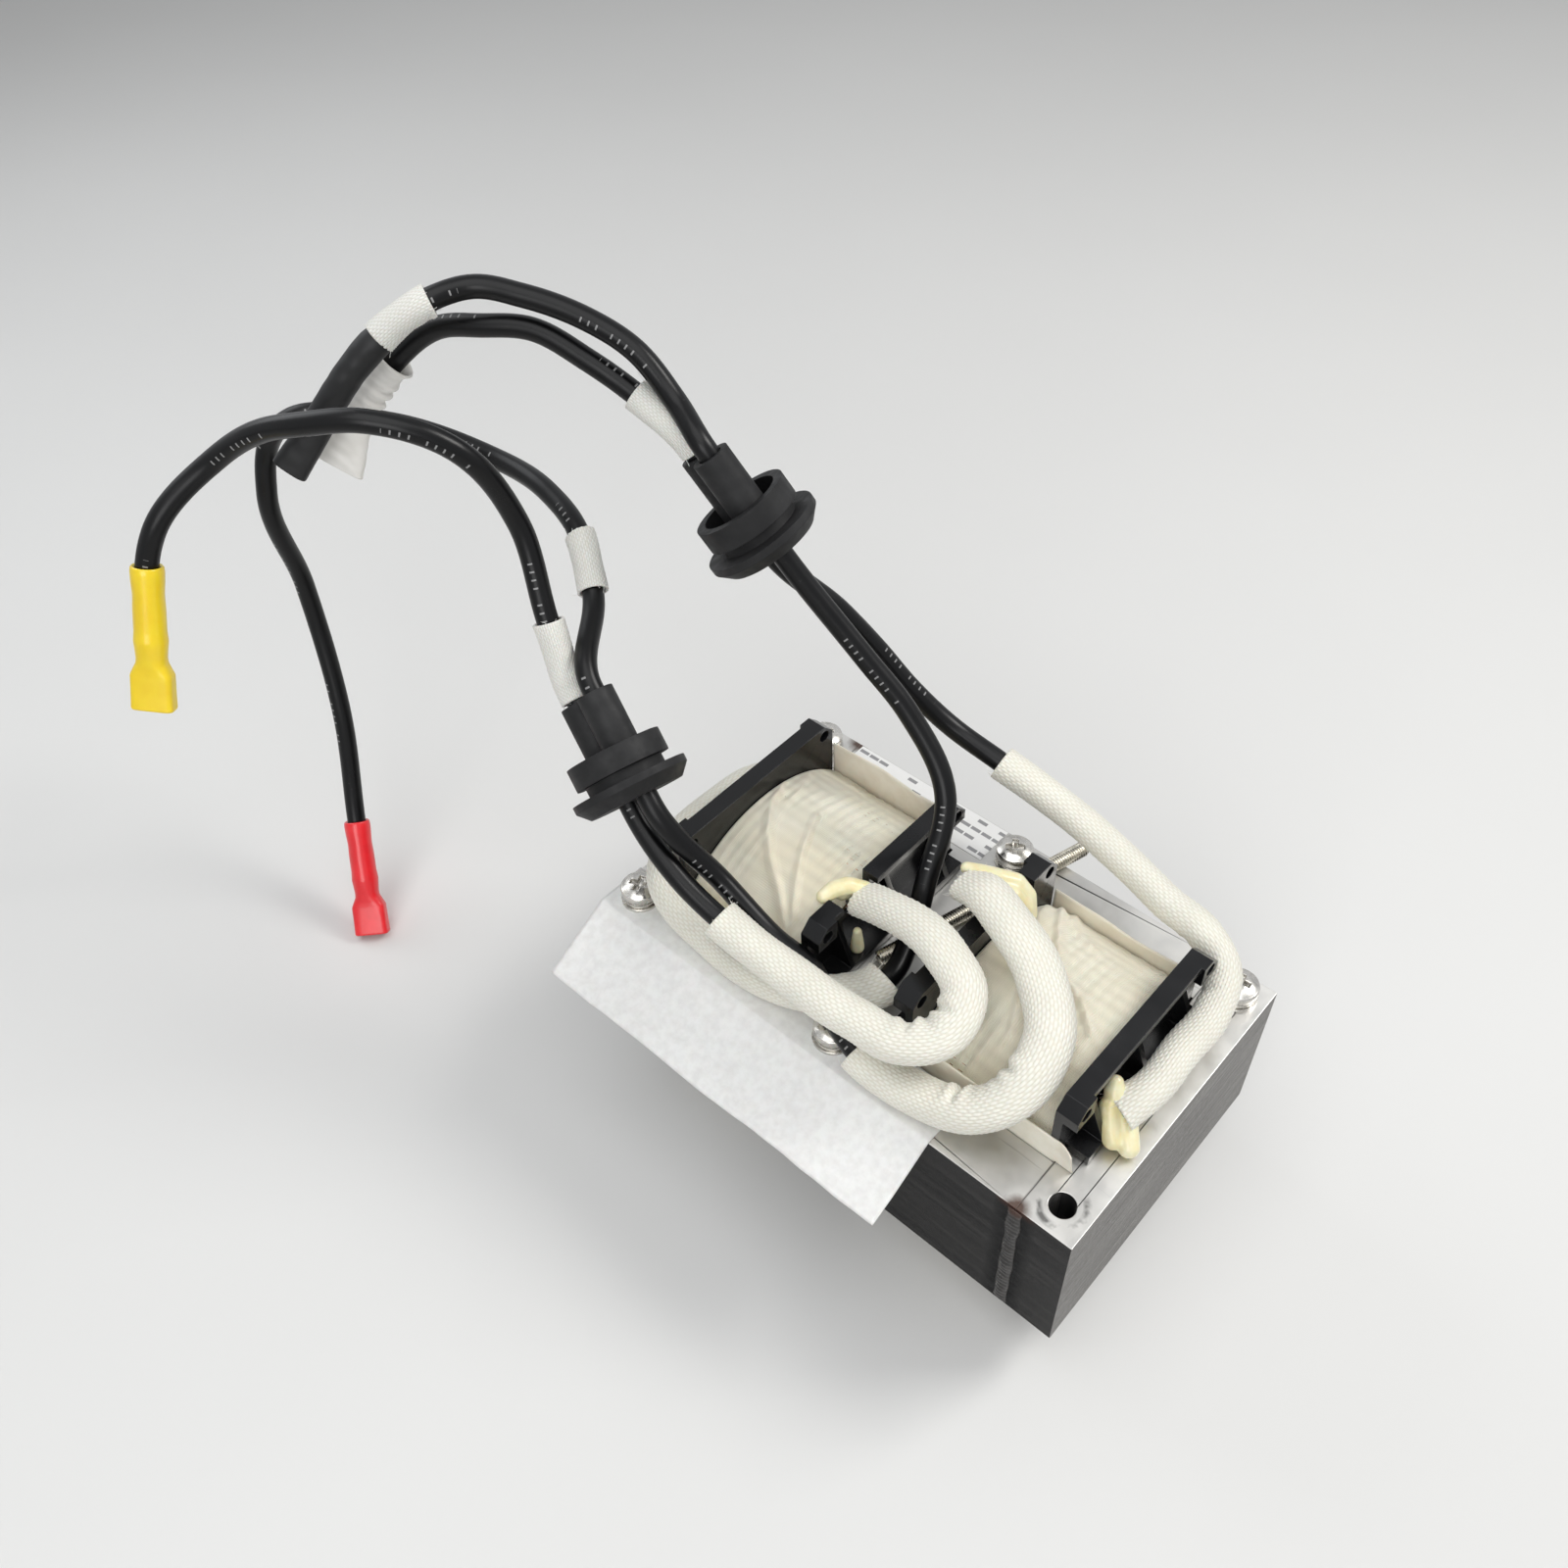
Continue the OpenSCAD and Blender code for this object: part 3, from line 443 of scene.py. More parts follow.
class Build:
    """Gathers grids of points, in millimetres, into one piece."""

    def __init__(self):
        self.points, self.faces, self.uvs, self.count = [], [], [], 0

    def grid(self, points, v=None, u=None, round_row=False, round_column=False, caps=False):
        """Quads between rows of points. A row may close on itself, and so may a column.

        v has a map value for each row and u for each column, with one more if it closes.
        """
        points = np.asarray(points, float)
        rows, columns = points.shape[:2]
        r, c = np.meshgrid(np.arange(rows if round_column else rows - 1),
                           np.arange(columns if round_row else columns - 1), indexing="ij")
        r2, c2 = (r + 1) % rows, (c + 1) % columns
        quads = np.stack([r * columns + c, r * columns + c2, r2 * columns + c2, r2 * columns + c], axis=-1)
        self.faces += (quads.reshape(-1, 4) + self.count).tolist()
        u = np.arange(columns + 1) if u is None else np.asarray(u, float)
        v = np.arange(rows + 1) if v is None else np.asarray(v, float)
        corners = ((r, c), (r, c + 1), (r + 1, c + 1), (r + 1, c))
        self.uvs += np.stack([np.stack([u[b], v[a]], axis=-1) for a, b in corners],
                             axis=2).reshape(-1, 2).tolist()
        self.points.append(points.reshape(-1, 3))
        start, self.count = self.count, self.count + rows * columns
        if caps:
            self.fan(start, points[0], False)
            self.fan(start + (rows - 1) * columns, points[-1], True)
        return self

    def tube(self, points, v=None):
        """Rings of points, one after the other, closed at both ends."""
        return self.grid(points, v, round_row=True, caps=True)

    def fan(self, start, ring, forwards):
        """Closes a ring of points, already there from start on, with triangles."""
        self.points.append(ring.mean(axis=0)[None])
        for s in range(len(ring)):
            pair = [start + s, start + (s + 1) % len(ring)]
            self.faces.append([self.count, *(pair if forwards else pair[::-1])])
            self.uvs += [[0, 0]] * 3
        self.count += 1

    def piece(self, name, slot, node, material=None):
        """The finished piece, with its faces turned outwards, in place of a CAD node."""
        material = material or MATERIALS[slot]
        made = add_mesh(name, np.vstack(self.points), self.faces, material, self.uvs)
        shell = bmesh.new()
        shell.from_mesh(made.data)
        bmesh.ops.recalc_face_normals(shell, faces=shell.faces)
        shell.to_mesh(made.data)
        shell.free()
        return stand_for(made, node)


def soften(node, width, angle=35):
    """Rounds the sharp edges of a CAD node's look, without changing its mesh."""
    piece = frame["nodes"][node]
    if piece.data.has_custom_normals:
        with bpy.context.temp_override(object=piece, active_object=piece, selected_objects=[piece]):
            bpy.ops.mesh.customdata_custom_splitnormals_clear()
    piece.modifiers.new("join", "WELD").merge_threshold = 0.002 * MM
    edge = piece.modifiers.new("round", "BEVEL")
    edge.width = width * MM
    edge.segments = 2
    edge.limit_method = "ANGLE"
    edge.angle_limit = math.radians(angle)
    edge.harden_normals = False
    piece.data.polygons.foreach_set("use_smooth", [True] * len(piece.data.polygons))
    flat = piece.modifiers.new("flats", "WEIGHTED_NORMAL")
    flat.keep_sharp = True
    return piece


# ------------------------------------------------------- camera, light, floor

CAMERA_AT = (0.1231, -0.1777, 0.3297)
CAMERA_AIM = (-0.0517, 0.0063, 0.0600)
CAMERA_ROLL = -2.27
LENS = 33.77
SENSOR = 36.0
CENTRE = (-0.03, 0.0, 0.05)


def aimed(data, at, aim, roll=0.0):
    """A camera or lamp that looks from one place at another, in metres."""
    made = bpy.data.objects.new(data.name, data)
    made.location = at
    made.rotation_mode = "QUATERNION"
    level = (Vector(aim) - Vector(at)).to_track_quat("-Z", "Y")
    made.rotation_quaternion = level @ Matrix.Rotation(math.radians(roll), 3, "Z").to_quaternion()
    scene.collection.objects.link(made)
    return made


def add_camera():
    data = bpy.data.cameras.new("camera")
    data.lens = LENS
    data.sensor_width = SENSOR
    data.clip_start = 0.01
    scene.camera = aimed(data, CAMERA_AT, CAMERA_AIM, CAMERA_ROLL)


def add_lamp(name, at, size, watts, color=(1, 1, 1)):
    data = bpy.data.lights.new(name, "AREA")
    data.size = size
    data.energy = watts
    data.color = color
    aimed(data, at, CENTRE)


def add_world(strength, shown):
    """Soft light from all round. The camera and reflections see a paler backdrop."""
    world = bpy.data.worlds.new("studio")
    scene.world = world
    world.use_nodes = True
    tree = world.node_tree
    rays = add_node(tree, "ShaderNodeLightPath").outputs
    seen = rays["Is Camera Ray"]
    for kind in ("Is Glossy Ray", "Is Transmission Ray"):
        seen = add_node(tree, "ShaderNodeMath", seen, rays[kind], operation="MAXIMUM").outputs[0]
    level = add_node(tree, "ShaderNodeMapRange", seen, To_Min=strength, To_Max=shown).outputs[0]
    background = tree.nodes["Background"]
    background.inputs["Color"].default_value = (0.95, 0.97, 1.0, 1)
    tree.links.new(level, background.inputs["Strength"])


def add_floor(half, color):
    material = simple("floor", 0.85, color, tuple(0.97 * c for c in color), (4.0, 3.0, 0.3, 0.7))
    points = [(x, y, FLOOR_Z) for x, y in ((-half, -half), (half, -half), (half, half), (-half, half))]
    add_mesh("floor", points, [(0, 1, 2, 3)], material, smooth=False)


scene.view_settings.view_transform = "Standard"
add_camera()
add_lamp("key", (0.45, 0.55, 0.85), 0.4, 6.2, (1.0, 0.985, 0.96))
add_lamp("top", (0.05, -0.25, 0.95), 0.8, 3.8)
add_lamp("front", (0.35, -0.75, 0.5), 0.5, 2.9)
add_lamp("left", (-0.65, -0.05, 0.5), 0.4, 1.0, (0.95, 0.975, 1.0))
add_world(0.22, 0.75)
add_floor(1500.0, (0.76, 0.76, 0.75))


# ------------------------------------------------------------------- routes

LEAD_R = 2.6
GROMMET_H = 25.5
NOZZLE_PITCH = 8.6
BORE_RUN = (-2.0, GROMMET_H + 1)
UPPER = ((-60, 14, 126), (37, 198, -36))
LOWER = ((-57.5, -36, 85.5), (51, 166, 14))


def grommet_axes(turn):
    """Axis of a grommet and the direction of its pair, from lean, heading and turn."""
    lean, heading, spin = (math.radians(a) for a in turn)
    axis = np.array([math.sin(lean) * math.cos(heading), math.sin(lean) * math.sin(heading),
                     math.cos(lean)])
    pair = (math.cos(spin) * np.array([math.cos(heading) * math.cos(lean),
                                       math.sin(heading) * math.cos(lean), -math.sin(lean)])
            + math.sin(spin) * np.array([-math.sin(heading), math.cos(heading), 0]))
    return axis, pair


def bore_points(grommet, side):
    at, turn = grommet
    axis, pair = grommet_axes(turn)
    return [tuple(np.array(at) + side * NOZZLE_PITCH / 2 * pair + run * axis) for run in BORE_RUN]


WHITE = [
    (61, -12.8, 51.2), (63.3, -7, 53), (63.5, 6, 53.5), (63.4, 20, 53.5), (60, 30.5, 56),
    (52.5, 33.5, 60), (41, 36, 60), (26, 39.5, 61.5), (10.5, 40.5, 65), (-9, 38.5, 71),
    (-23.5, 36.5, 76), (-33.5, 33, 85), (-42, 30, 95), (-49, 25, 106),
    *bore_points(UPPER, 1),
    (-94, 8.5, 154), (-104.5, 5, 160), (-116.5, 0, 165.5), (-126, -6, 165.5),
    (-136, -11, 163.5), (-143.5, -18, 156.5), (-149, -32.5, 139), (-150, -36, 134.5)]
BLACK = [
    (-61.5, 12.8, 51.2), (-63.5, 7, 52.7), (-65, -4, 52.5), (-65, -15, 52.5), (-62.5, -25, 53),
    (-57.5, -31.5, 53.3), (-48, -35, 51), (-37, -35.5, 48.4), (-21, -35.5, 48.4),
    (-8, -31, 49.7), (2, -19, 51.5), (-1, -5.5, 54), (-4, 3, 62), (-10, 17, 76.5),
    (-24, 20, 92), (-36, 18, 104),
    *bore_points(UPPER, -1),
    (-83.5, 10.5, 155.5), (-94.5, 10, 164), (-106, 6, 169.5), (-117.5, 0, 173),
    (-126.5, -6, 174.5), (-131, -14.5, 173.5), (-137, -25, 167), (-148, -43.5, 144.5),
    (-150, -47.5, 139.5)]
YELLOW = [
    (-15, -10, 60), (-11.5, -10.5, 62), (4, -12.5, 68.4), (15.5, -15.5, 70.1),
    (24, -20, 68), (26, -29, 64.5), (19, -35.5, 62.2), (8, -37, 61.7), (-12, -37.5, 62),
    (-31, -38.5, 66), (-42, -39, 71),
    *bore_points(LOWER, 1),
    (-90.5, -28, 114.5), (-100.5, -24, 135), (-107.5, -32, 155.5),
    (-120, -43.5, 162.5), (-131.5, -50.5, 160.5), (-143.5, -55.5, 156), (-154, -62, 148),
    (-159.5, -78, 136), (-160.5, -82.5, 128), (-159, -86, 120)]
RED = [
    (6, 5, 67.6), (12.5, 3.5, 70), (21, 0.5, 70), (34, -5, 66), (43, -15, 63.5),
    (44.5, -26, 59), (38, -34, 53), (24.5, -36.5, 49), (9.5, -38, 51.4),
    (-1, -35, 54.8), (-9, -31, 57.1), (-22, -30.5, 59), (-36, -31, 67),
    *bore_points(LOWER, -1),
    (-92, -13, 113), (-101.5, -7, 121), (-116.5, -2.5, 123.5), (-140, -1.5, 123.5),
    (-162.5, -12.5, 129), (-177.5, -30.5, 133), (-185, -35, 124), (-185, -39, 113),
    (-188, -36, 79), (-176, -43.5, 41), (-167.5, -53.5, 12.9), (-163.5, -57, 5.9)]


def unit(v):
    return v / np.linalg.norm(v)


class Route:
    """A smooth line through the points of a lead, with a frame that doesn't twist."""

    def __init__(self, points, step=0.5, up=(0.3, 0.2, 1.0)):
        p = np.array(points, float)
        runs = np.diff(p, axis=0)
        lengths = np.linalg.norm(runs, axis=1)
        ways = runs / lengths[:, None]
        ends = [ways[0]]
        for i in range(1, len(p) - 1):
            straight = [w for w, run in ((ways[i - 1], lengths[i - 1]), (ways[i], lengths[i]))
                        if abs(run - (BORE_RUN[1] - BORE_RUN[0])) < 0.01]
            blend = unit(ways[i - 1] * lengths[i] + ways[i] * lengths[i - 1])
            ends.append(straight[0] if straight else blend)
        ends.append(ways[-1])
        at, index = [], []
        for i, length in enumerate(lengths):
            count = max(2, round(length / step))
            for t in np.arange(count) / count:
                a, b = 2 * t**3 - 3 * t**2 + 1, t**3 - 2 * t**2 + t
                c, d = 3 * t**2 - 2 * t**3, t**3 - t**2
                at.append(a * p[i] + b * length * ends[i] + c * p[i + 1] + d * length * ends[i + 1])
                index.append(i + t)
        at.append(p[-1])
        index.append(len(p) - 1.0)
        self.at = np.array(at)
        self.index = np.array(index)
        gaps = np.linalg.norm(np.diff(self.at, axis=0), axis=1)
        self.run = np.concatenate([[0], np.cumsum(gaps)])
        self.way = np.gradient(self.at, self.run, axis=0)
        self.way /= np.linalg.norm(self.way, axis=1)[:, None]
        normal = np.array(up, float)
        self.up = np.empty_like(self.at)
        for i, way in enumerate(self.way):
            normal = unit(normal - normal @ way * way)
            self.up[i] = normal
        self.side = np.cross(self.up, self.way)
        self.length = self.run[-1]

    def reach(self, point_number):
        """Length along the route at a point number, which may be between two."""
        return float(np.interp(point_number, self.index, self.run))

    def frames(self, runs, wide=None):
        """Place, side, up and way at lengths along the route, also just past its ends.

        wide is the direction that the side turns to, or "level" for a side that lies flat.
        """
        def read(table):
            return np.stack([np.interp(runs, self.run, table[:, i]) for i in range(3)], axis=1)
        way = read(self.way)
        past = np.where(runs < 0, runs, np.where(runs > self.length, runs - self.length, 0))
        at = read(self.at) + past[:, None] * way
        if wide is None:
            return at, read(self.side), read(self.up), way
        side = np.cross((0, 0, 1), way) if isinstance(wide, str) else wide - (way @ wide)[:, None] * way
        side /= np.linalg.norm(side, axis=1)[:, None]
        return at, side, np.cross(way, side), way

    def bend(self, runs, reach=4.0):
        """How the route bends, as a vector of 1/mm towards the inside of the bend."""
        before, after = self.frames(runs - reach)[3], self.frames(runs + reach)[3]
        return (after - before) / (2 * reach)


ROUTES = {name: Route(points) for name, points in
          (("white", WHITE), ("black", BLACK), ("yellow", YELLOW), ("red", RED))}


def key(runs, table, column):
    """A value that changes along a piece: table rows are (run, value, value ...)."""
    table = np.array(table, float)
    return np.interp(runs, table[:, 0], table[:, column])


def rings(route, runs, half_w, half_h, sides, wide=None, relief=0.0, power=2.0):
    """Rings of points round a route: ovals of half_w by half_h, squarer as power grows."""
    at, side, up, _ = route.frames(runs, wide)
    angles = around(sides)
    square = np.broadcast_to(2.0 / np.asarray(power, float), runs.shape)[:, None]
    x = np.broadcast_to(half_w, runs.shape)[:, None] * squared(np.cos(angles), square) \
        + relief * np.cos(angles)
    y = np.broadcast_to(half_h, runs.shape)[:, None] * squared(np.sin(angles), square) \
        + relief * np.sin(angles)
    return at[:, None, :] + x[..., None] * side[:, None, :] + y[..., None] * up[:, None, :]


# -------------------------------------------------------------- leads and ends

# Points round a lead, a cover and a shrink tube
LEAD_SIDES = 24
COVER_SIDES = 48
SHRINK_SIDES = 64

# Sleeves: wall, height of a stitch, distance between wrinkles, and size of a cell of the braid
SLEEVE_WALL = 0.6
PILLOW = 0.13
WRINKLE_PITCH = 4.6
BRAID = (1.5, 1.9)
FINE_BRAID = (1.15, 1.3)


def lead(name, last_point):
    route = ROUTES[name]
    end = route.reach(last_point)
    runs = np.linspace(0, end, round(end / 1.2))
    build = Build().tube(rings(route, runs, LEAD_R, LEAD_R, LEAD_SIDES), runs)
    return build.piece(f"lead_{name}_insulation", "lead_pvc", f"lead_{name}"), end


def strands(build, route, run, outwards, half_w, half_h, count, wide):
    """Loose threads that stand out of a cut end of a sleeve."""
    at, side, up, way = (x[0] for x in route.frames(np.array([run]), wide))
    for _ in range(count):
        angle = rng.uniform(0, math.tau)
        out = math.cos(angle) * side + math.sin(angle) * up
        foot = at + half_w * math.cos(angle) * side + half_h * math.sin(angle) * up
        length = rng.uniform(0.5, 1.7)
        lean = rng.normal(0, 0.45, 3)
        spread = rng.uniform(-0.1, 0.7)
        steps = np.linspace(0, 1, 4)[:, None]
        heading = outwards * way + spread * out * steps + lean * steps
        line = foot - 0.2 * outwards * way + steps * length * heading
        turn = around(4)
        ring = 0.055 * (np.cos(turn)[:, None] * out + np.sin(turn)[:, None] * np.cross(way, out))
        build.grid(line[:, None, :] + ring[None], v=np.zeros(5), u=np.zeros(5), round_row=True)


def wrinkles(route, runs, angles, wide, kinks, phase):
    """Wrinkles and sharp folds on the inside of a route's bends, in millimetres."""
    _, side, up, _ = route.frames(runs, wide)
    bend = route.bend(runs)
    inside = np.cos(angles)[None, :] * (bend * side).sum(axis=1)[:, None] \
        + np.sin(angles)[None, :] * (bend * up).sum(axis=1)[:, None]
    drift = 2.2 * np.sin(runs / 5.3)[:, None] + 0.8 * np.sin(2 * angles)[None, :]
    patchy = np.clip(0.2 + 0.9 * np.sin(runs / 6.1 + phase), 0, 1)[:, None]
    waves = np.sin(math.tau * (runs / WRINKLE_PITCH)[:, None] + drift)
    wrinkle = np.clip(inside * 4, 0, 0.16) * patchy * waves
    hollow_side = np.clip(inside * 30, 0, 1)
    for point_number, depth in kinks:
        off = np.abs(runs - route.reach(point_number))[:, None] - 0.5 * np.sin(3 * angles)[None, :]
        fold = 0.45 * np.exp(-((np.abs(off) - 2.6) / 1.3) ** 2) - np.exp(-(off / 0.9) ** 2)
        wrinkle = wrinkle + depth * hollow_side * fold
    return wrinkle


def woven(node, route, span, table, cell, material=None, wide="level", frayed=14, kinks=()):
    """A braided sleeve, open at both ends. table rows are (share of length, half_w, half_h).

    kinks has (point number on the route, depth) of each sharp fold on the inside of a bend.
    """
    slot = SLOT_OF[node]
    start, end = span
    length = end - start
    widest = max((row[1] + row[2]) / 2 for row in table)
    cells = round(math.tau * widest / cell[0])
    steps = 4 * round(length / cell[1])
    outer = start + length * np.arange(steps + 1) / steps
    inner = np.linspace(end, start, max(3, round(length / 2.5)))
    runs = np.concatenate([outer, [end + 0.12], inner, [start - 0.12]])
    half = [key((runs - start) / length, table, column) for column in (1, 2)]
    count, back = len(outer), len(inner)
    thin = np.concatenate([np.zeros(count), [0.5], np.ones(back), [0.5]]) * SLEEVE_WALL
    angles = around(4 * cells)
    rows = np.cos(math.tau * (runs - start) / length * steps / 4)[:, None]
    pillow = PILLOW * np.cos(cells * angles)[None, :] * rows
    wrinkle = wrinkles(route, runs, angles, wide, kinks, widest)
    lumps = 0.12 * np.sin(runs / 3.1)[:, None] * np.sin(angles + 1)[None, :] \
        + 0.10 * np.sin(runs / 4.7 + 2)[:, None] * np.cos(2 * angles)[None, :]
    shown = (thin == 0)[:, None]
    relief = np.where(shown, pillow + wrinkle, 0) + lumps
    points = rings(route, runs, half[0] - thin, half[1] - thin, len(angles), wide, relief)
    v = np.concatenate([runs, runs[:1]]) / (length / (steps / 4))
    u = np.linspace(0, cells, len(angles) + 1)
    build = Build().grid(points, v, u, round_row=True, round_column=True)
    for run, outwards, i in ((end, 1, count - 1), (start, -1, 0)):
        strands(build, route, run, outwards, half[0][i] - 0.3, half[1][i] - 0.3, frayed, wide)
    return build.piece(f"{node}_braid", slot, node, material)


def span_of(name, first, last):
    route = ROUTES[name]
    return route.reach(first), route.reach(last)


SLEEVES = {
    "white": (0, 9, [(0, 4.9, 3.7), (0.06, 4.3, 3.8), (0.3, 4.2, 3.8), (0.7, 4.3, 3.7), (1, 4.6, 3.8)]),
    "black": (0, 10, [(0, 4.2, 3.8), (0.5, 4.3, 3.8), (0.8, 4.3, 3.7), (0.88, 4.9, 3.5), (1, 5.9, 3.1)]),
    "yellow": (1, 9, [(0, 5.2, 3.4), (0.06, 5.0, 3.7), (0.5, 5.2, 3.9), (0.9, 4.8, 4.0), (1, 4.9, 4.1)]),
    "red": (0, 8, [(0, 5.2, 3.2), (0.08, 5.5, 3.8), (0.5, 5.7, 4.0), (0.9, 5.0, 4.0), (1, 4.9, 4.1)]),
}
KINKS = {"yellow": [(4.55, 0.9), (5.85, 1.0)], "red": [(6.25, 1.3), (4.9, 0.5)], "white": [(3.4, 0.3)]}
MARKERS = {"white": (15, 16), "black": (23, 24), "yellow": (12, 13), "red": (15, 16)}
MARKER_SHAPE = [(0, 3.75, 3.4), (0.5, 3.5, 3.35), (1, 3.8, 3.5)]


def sleeve(name):
    first, last, table = SLEEVES[name]
    return woven(f"sleeve_{name}", ROUTES[name], span_of(name, first, last), table, BRAID,
                 kinks=KINKS.get(name, ()))


def marker(name):
    return woven(f"marker_{name}", ROUTES[name], span_of(name, *MARKERS[name]), MARKER_SHAPE,
                 FINE_BRAID, MARKER_WEAVE, wide=None, frayed=8)


# Covers: (run, half width, half height, squareness) from the lead's side to the mouth
COVER_L = 34.0
COVER_WALL = 0.9
COVER_SHAPE = [
    (0, 3.35, 3.35, 2), (0.3, 3.6, 3.6, 2), (1.2, 3.72, 3.72, 2), (8, 3.58, 3.6, 2), (15, 3.6, 3.58, 2),
    (17.5, 3.82, 3.7, 2), (19.5, 3.6, 3.4, 2.1), (21.5, 3.4, 3.05, 2.3), (22.7, 3.5, 2.85, 2.5),
    (24.2, 4.2, 2.6, 3.2), (25.6, 4.8, 2.48, 4.3), (30, 4.8, 2.45, 5), (33.6, 4.9, 2.5, 5),
    (34, 4.75, 2.35, 5)]
MOUTH_SIDE = np.array([0.74, 0.67, 0.0])


def straight(route_points):
    """The straight line that a cover stands on, as a short route."""
    before, last = (np.array(p, float) for p in route_points[-2:])
    way = unit(last - before)
    return Route([before, before + way * COVER_L], step=0.5)


def cover(name, points, slot):
    line = straight(points)
    runs = np.concatenate([np.arange(0, 0.6, 0.15), np.arange(0.6, 33.4, 0.4), np.arange(33.4, 34.01, 0.1)])
    angles = around(COVER_SIDES)
    half_w, half_h, power = (key(runs, COVER_SHAPE, column) for column in (1, 2, 3))
    dented_sides = 0.5 + 0.5 * np.cos(2 * angles + 0.8)
    dent = -0.16 * np.exp(-((runs - 6.5) / 2.2) ** 2)[:, None] * dented_sides[None, :]
    outer = rings(line, runs, half_w, half_h, COVER_SIDES, MOUTH_SIDE, dent, power)
    back = np.array([33.6, 32.5, 30.0, 27.0, 24.5, 24.0])
    half_w, half_h, power = (key(back, COVER_SHAPE, column) for column in (1, 2, 3))
    inner = rings(line, back, half_w - COVER_WALL, half_h - COVER_WALL, COVER_SIDES, MOUTH_SIDE, 0.0, power)
    collar = rings(line, np.array([3.0, 0.2]), LEAD_R + 0.1, LEAD_R + 0.1, COVER_SIDES, MOUTH_SIDE)
    build = Build().tube(np.concatenate([collar, outer, inner]))
    return build.piece(f"cover_{name}_sleeve", slot, f"cover_{name}")


def shrink(name, first, last, table, rumple, seed, mouth, ridges, shift):
    """A shrunk tube over the end of a lead, cut open past it. Shares run from 0 to 1.

    mouth has (run, radius) inside its first end, ridges has (share, height, angle) of folds
    that stand out, and shift has (share, millimetres) that the tube lies beside the route.
    """
    node, wide = f"shrink_{name}", CAMERA_RIGHT
    start, end = span_of(name, first, last)
    shares = np.concatenate([np.linspace(0, 1, 120), np.linspace(1, 0.72, 8)])
    runs = start + shares * (end - start)
    angles = around(SHRINK_SIDES)
    wall = np.concatenate([np.zeros(120), np.full(8, 0.45)])
    half_w, half_h, power = (key(shares, table, column) for column in (1, 2, 3))
    draw = np.random.default_rng(seed)
    relief = np.zeros((len(runs), SHRINK_SIDES))
    for _ in range(14):
        waves, turns = draw.uniform(3, 11), draw.integers(1, 5)
        phase, tilt = draw.uniform(0, math.tau, 2)
        along = np.sin(waves * shares * math.tau + phase)[:, None]
        relief += along * np.cos(turns * angles + tilt)[None, :] / 14
    shown = np.where(wall > 0, 0, 1)
    relief = relief * (shown * key(shares, rumple, 1))[:, None]
    for share, height, angle in ridges:
        side = 0.5 + 0.5 * np.cos(angles - angle)
        bulge = np.exp(-((shares[:, None] - share - 0.012 * np.sin(2 * angles)) / 0.028) ** 2)
        relief += shown[:, None] * height * side * bulge
    points = rings(ROUTES[name], runs, half_w - wall, half_h - wall, SHRINK_SIDES, wide, relief, power)
    throat = np.array([start + run for run, _ in mouth])
    radii = np.array([radius for _, radius in mouth])
    neck = rings(ROUTES[name], throat, radii, radii, SHRINK_SIDES, wide)
    aside = np.concatenate([np.linspace(0, shift[0][1], len(mouth)), key(shares, shift, 1)])
    points = np.concatenate([neck, points]) + aside[:, None, None] * wide
    return Build().tube(points).piece(f"{node}_tube", node, node)


WHITE_SHRINK = [
    (0, 5.0, 5.0, 2), (0.012, 5.5, 5.5, 2), (0.035, 5.3, 5.3, 2), (0.08, 4.5, 4.6, 2), (0.14, 4.7, 4.5, 2),
    (0.25, 4.2, 4.2, 2), (0.4, 4.0, 3.9, 2), (0.6, 4.2, 3.5, 2.2), (0.8, 5.2, 2.9, 2.6), (1, 6.3, 2.2, 3.2)]
WHITE_RUMPLE = [(0, 0.5), (0.25, 0.5), (0.6, 0.6), (1, 0.3)]
WHITE_MOUTH = [(6, LEAD_R + 0.05), (4, LEAD_R + 0.4), (2, 3.9), (0.6, 4.6)]
WHITE_RIDGES = [(0.13, 1.3, 3.3), (0.19, 0.7, 0.3), (0.28, 1.1, 0.2), (0.38, 1.0, 0.0), (0.52, 0.4, 0.9)]
WHITE_ASIDE = [(0, -0.6), (0.3, -1.3), (0.55, -1.3), (1, -0.2)]
BLACK_SHRINK = [
    (0, 3.3, 3.2, 2), (0.06, 3.5, 3.4, 2), (0.3, 3.35, 3.3, 2), (0.55, 3.4, 3.2, 2), (0.8, 3.8, 2.9, 2.4),
    (1, 4.1, 2.5, 3.2)]
BLACK_RUMPLE = [(0, 0.2), (1, 0.15)]
BLACK_MOUTH = [(2.5, LEAD_R + 0.05), (0.3, LEAD_R + 0.05)]
BLACK_ASIDE = [(0, 0.3), (0.5, 0.1), (1, -0.3)]
CAMERA_RIGHT = np.array([0.7443, 0.6673, -0.0271])


def declare(name, piece, end, far_end, *others):
    route = ROUTES[name]
    path = [tuple(p) for p in route.frames(np.linspace(0, end, round(end / 2)))[0] * MM]


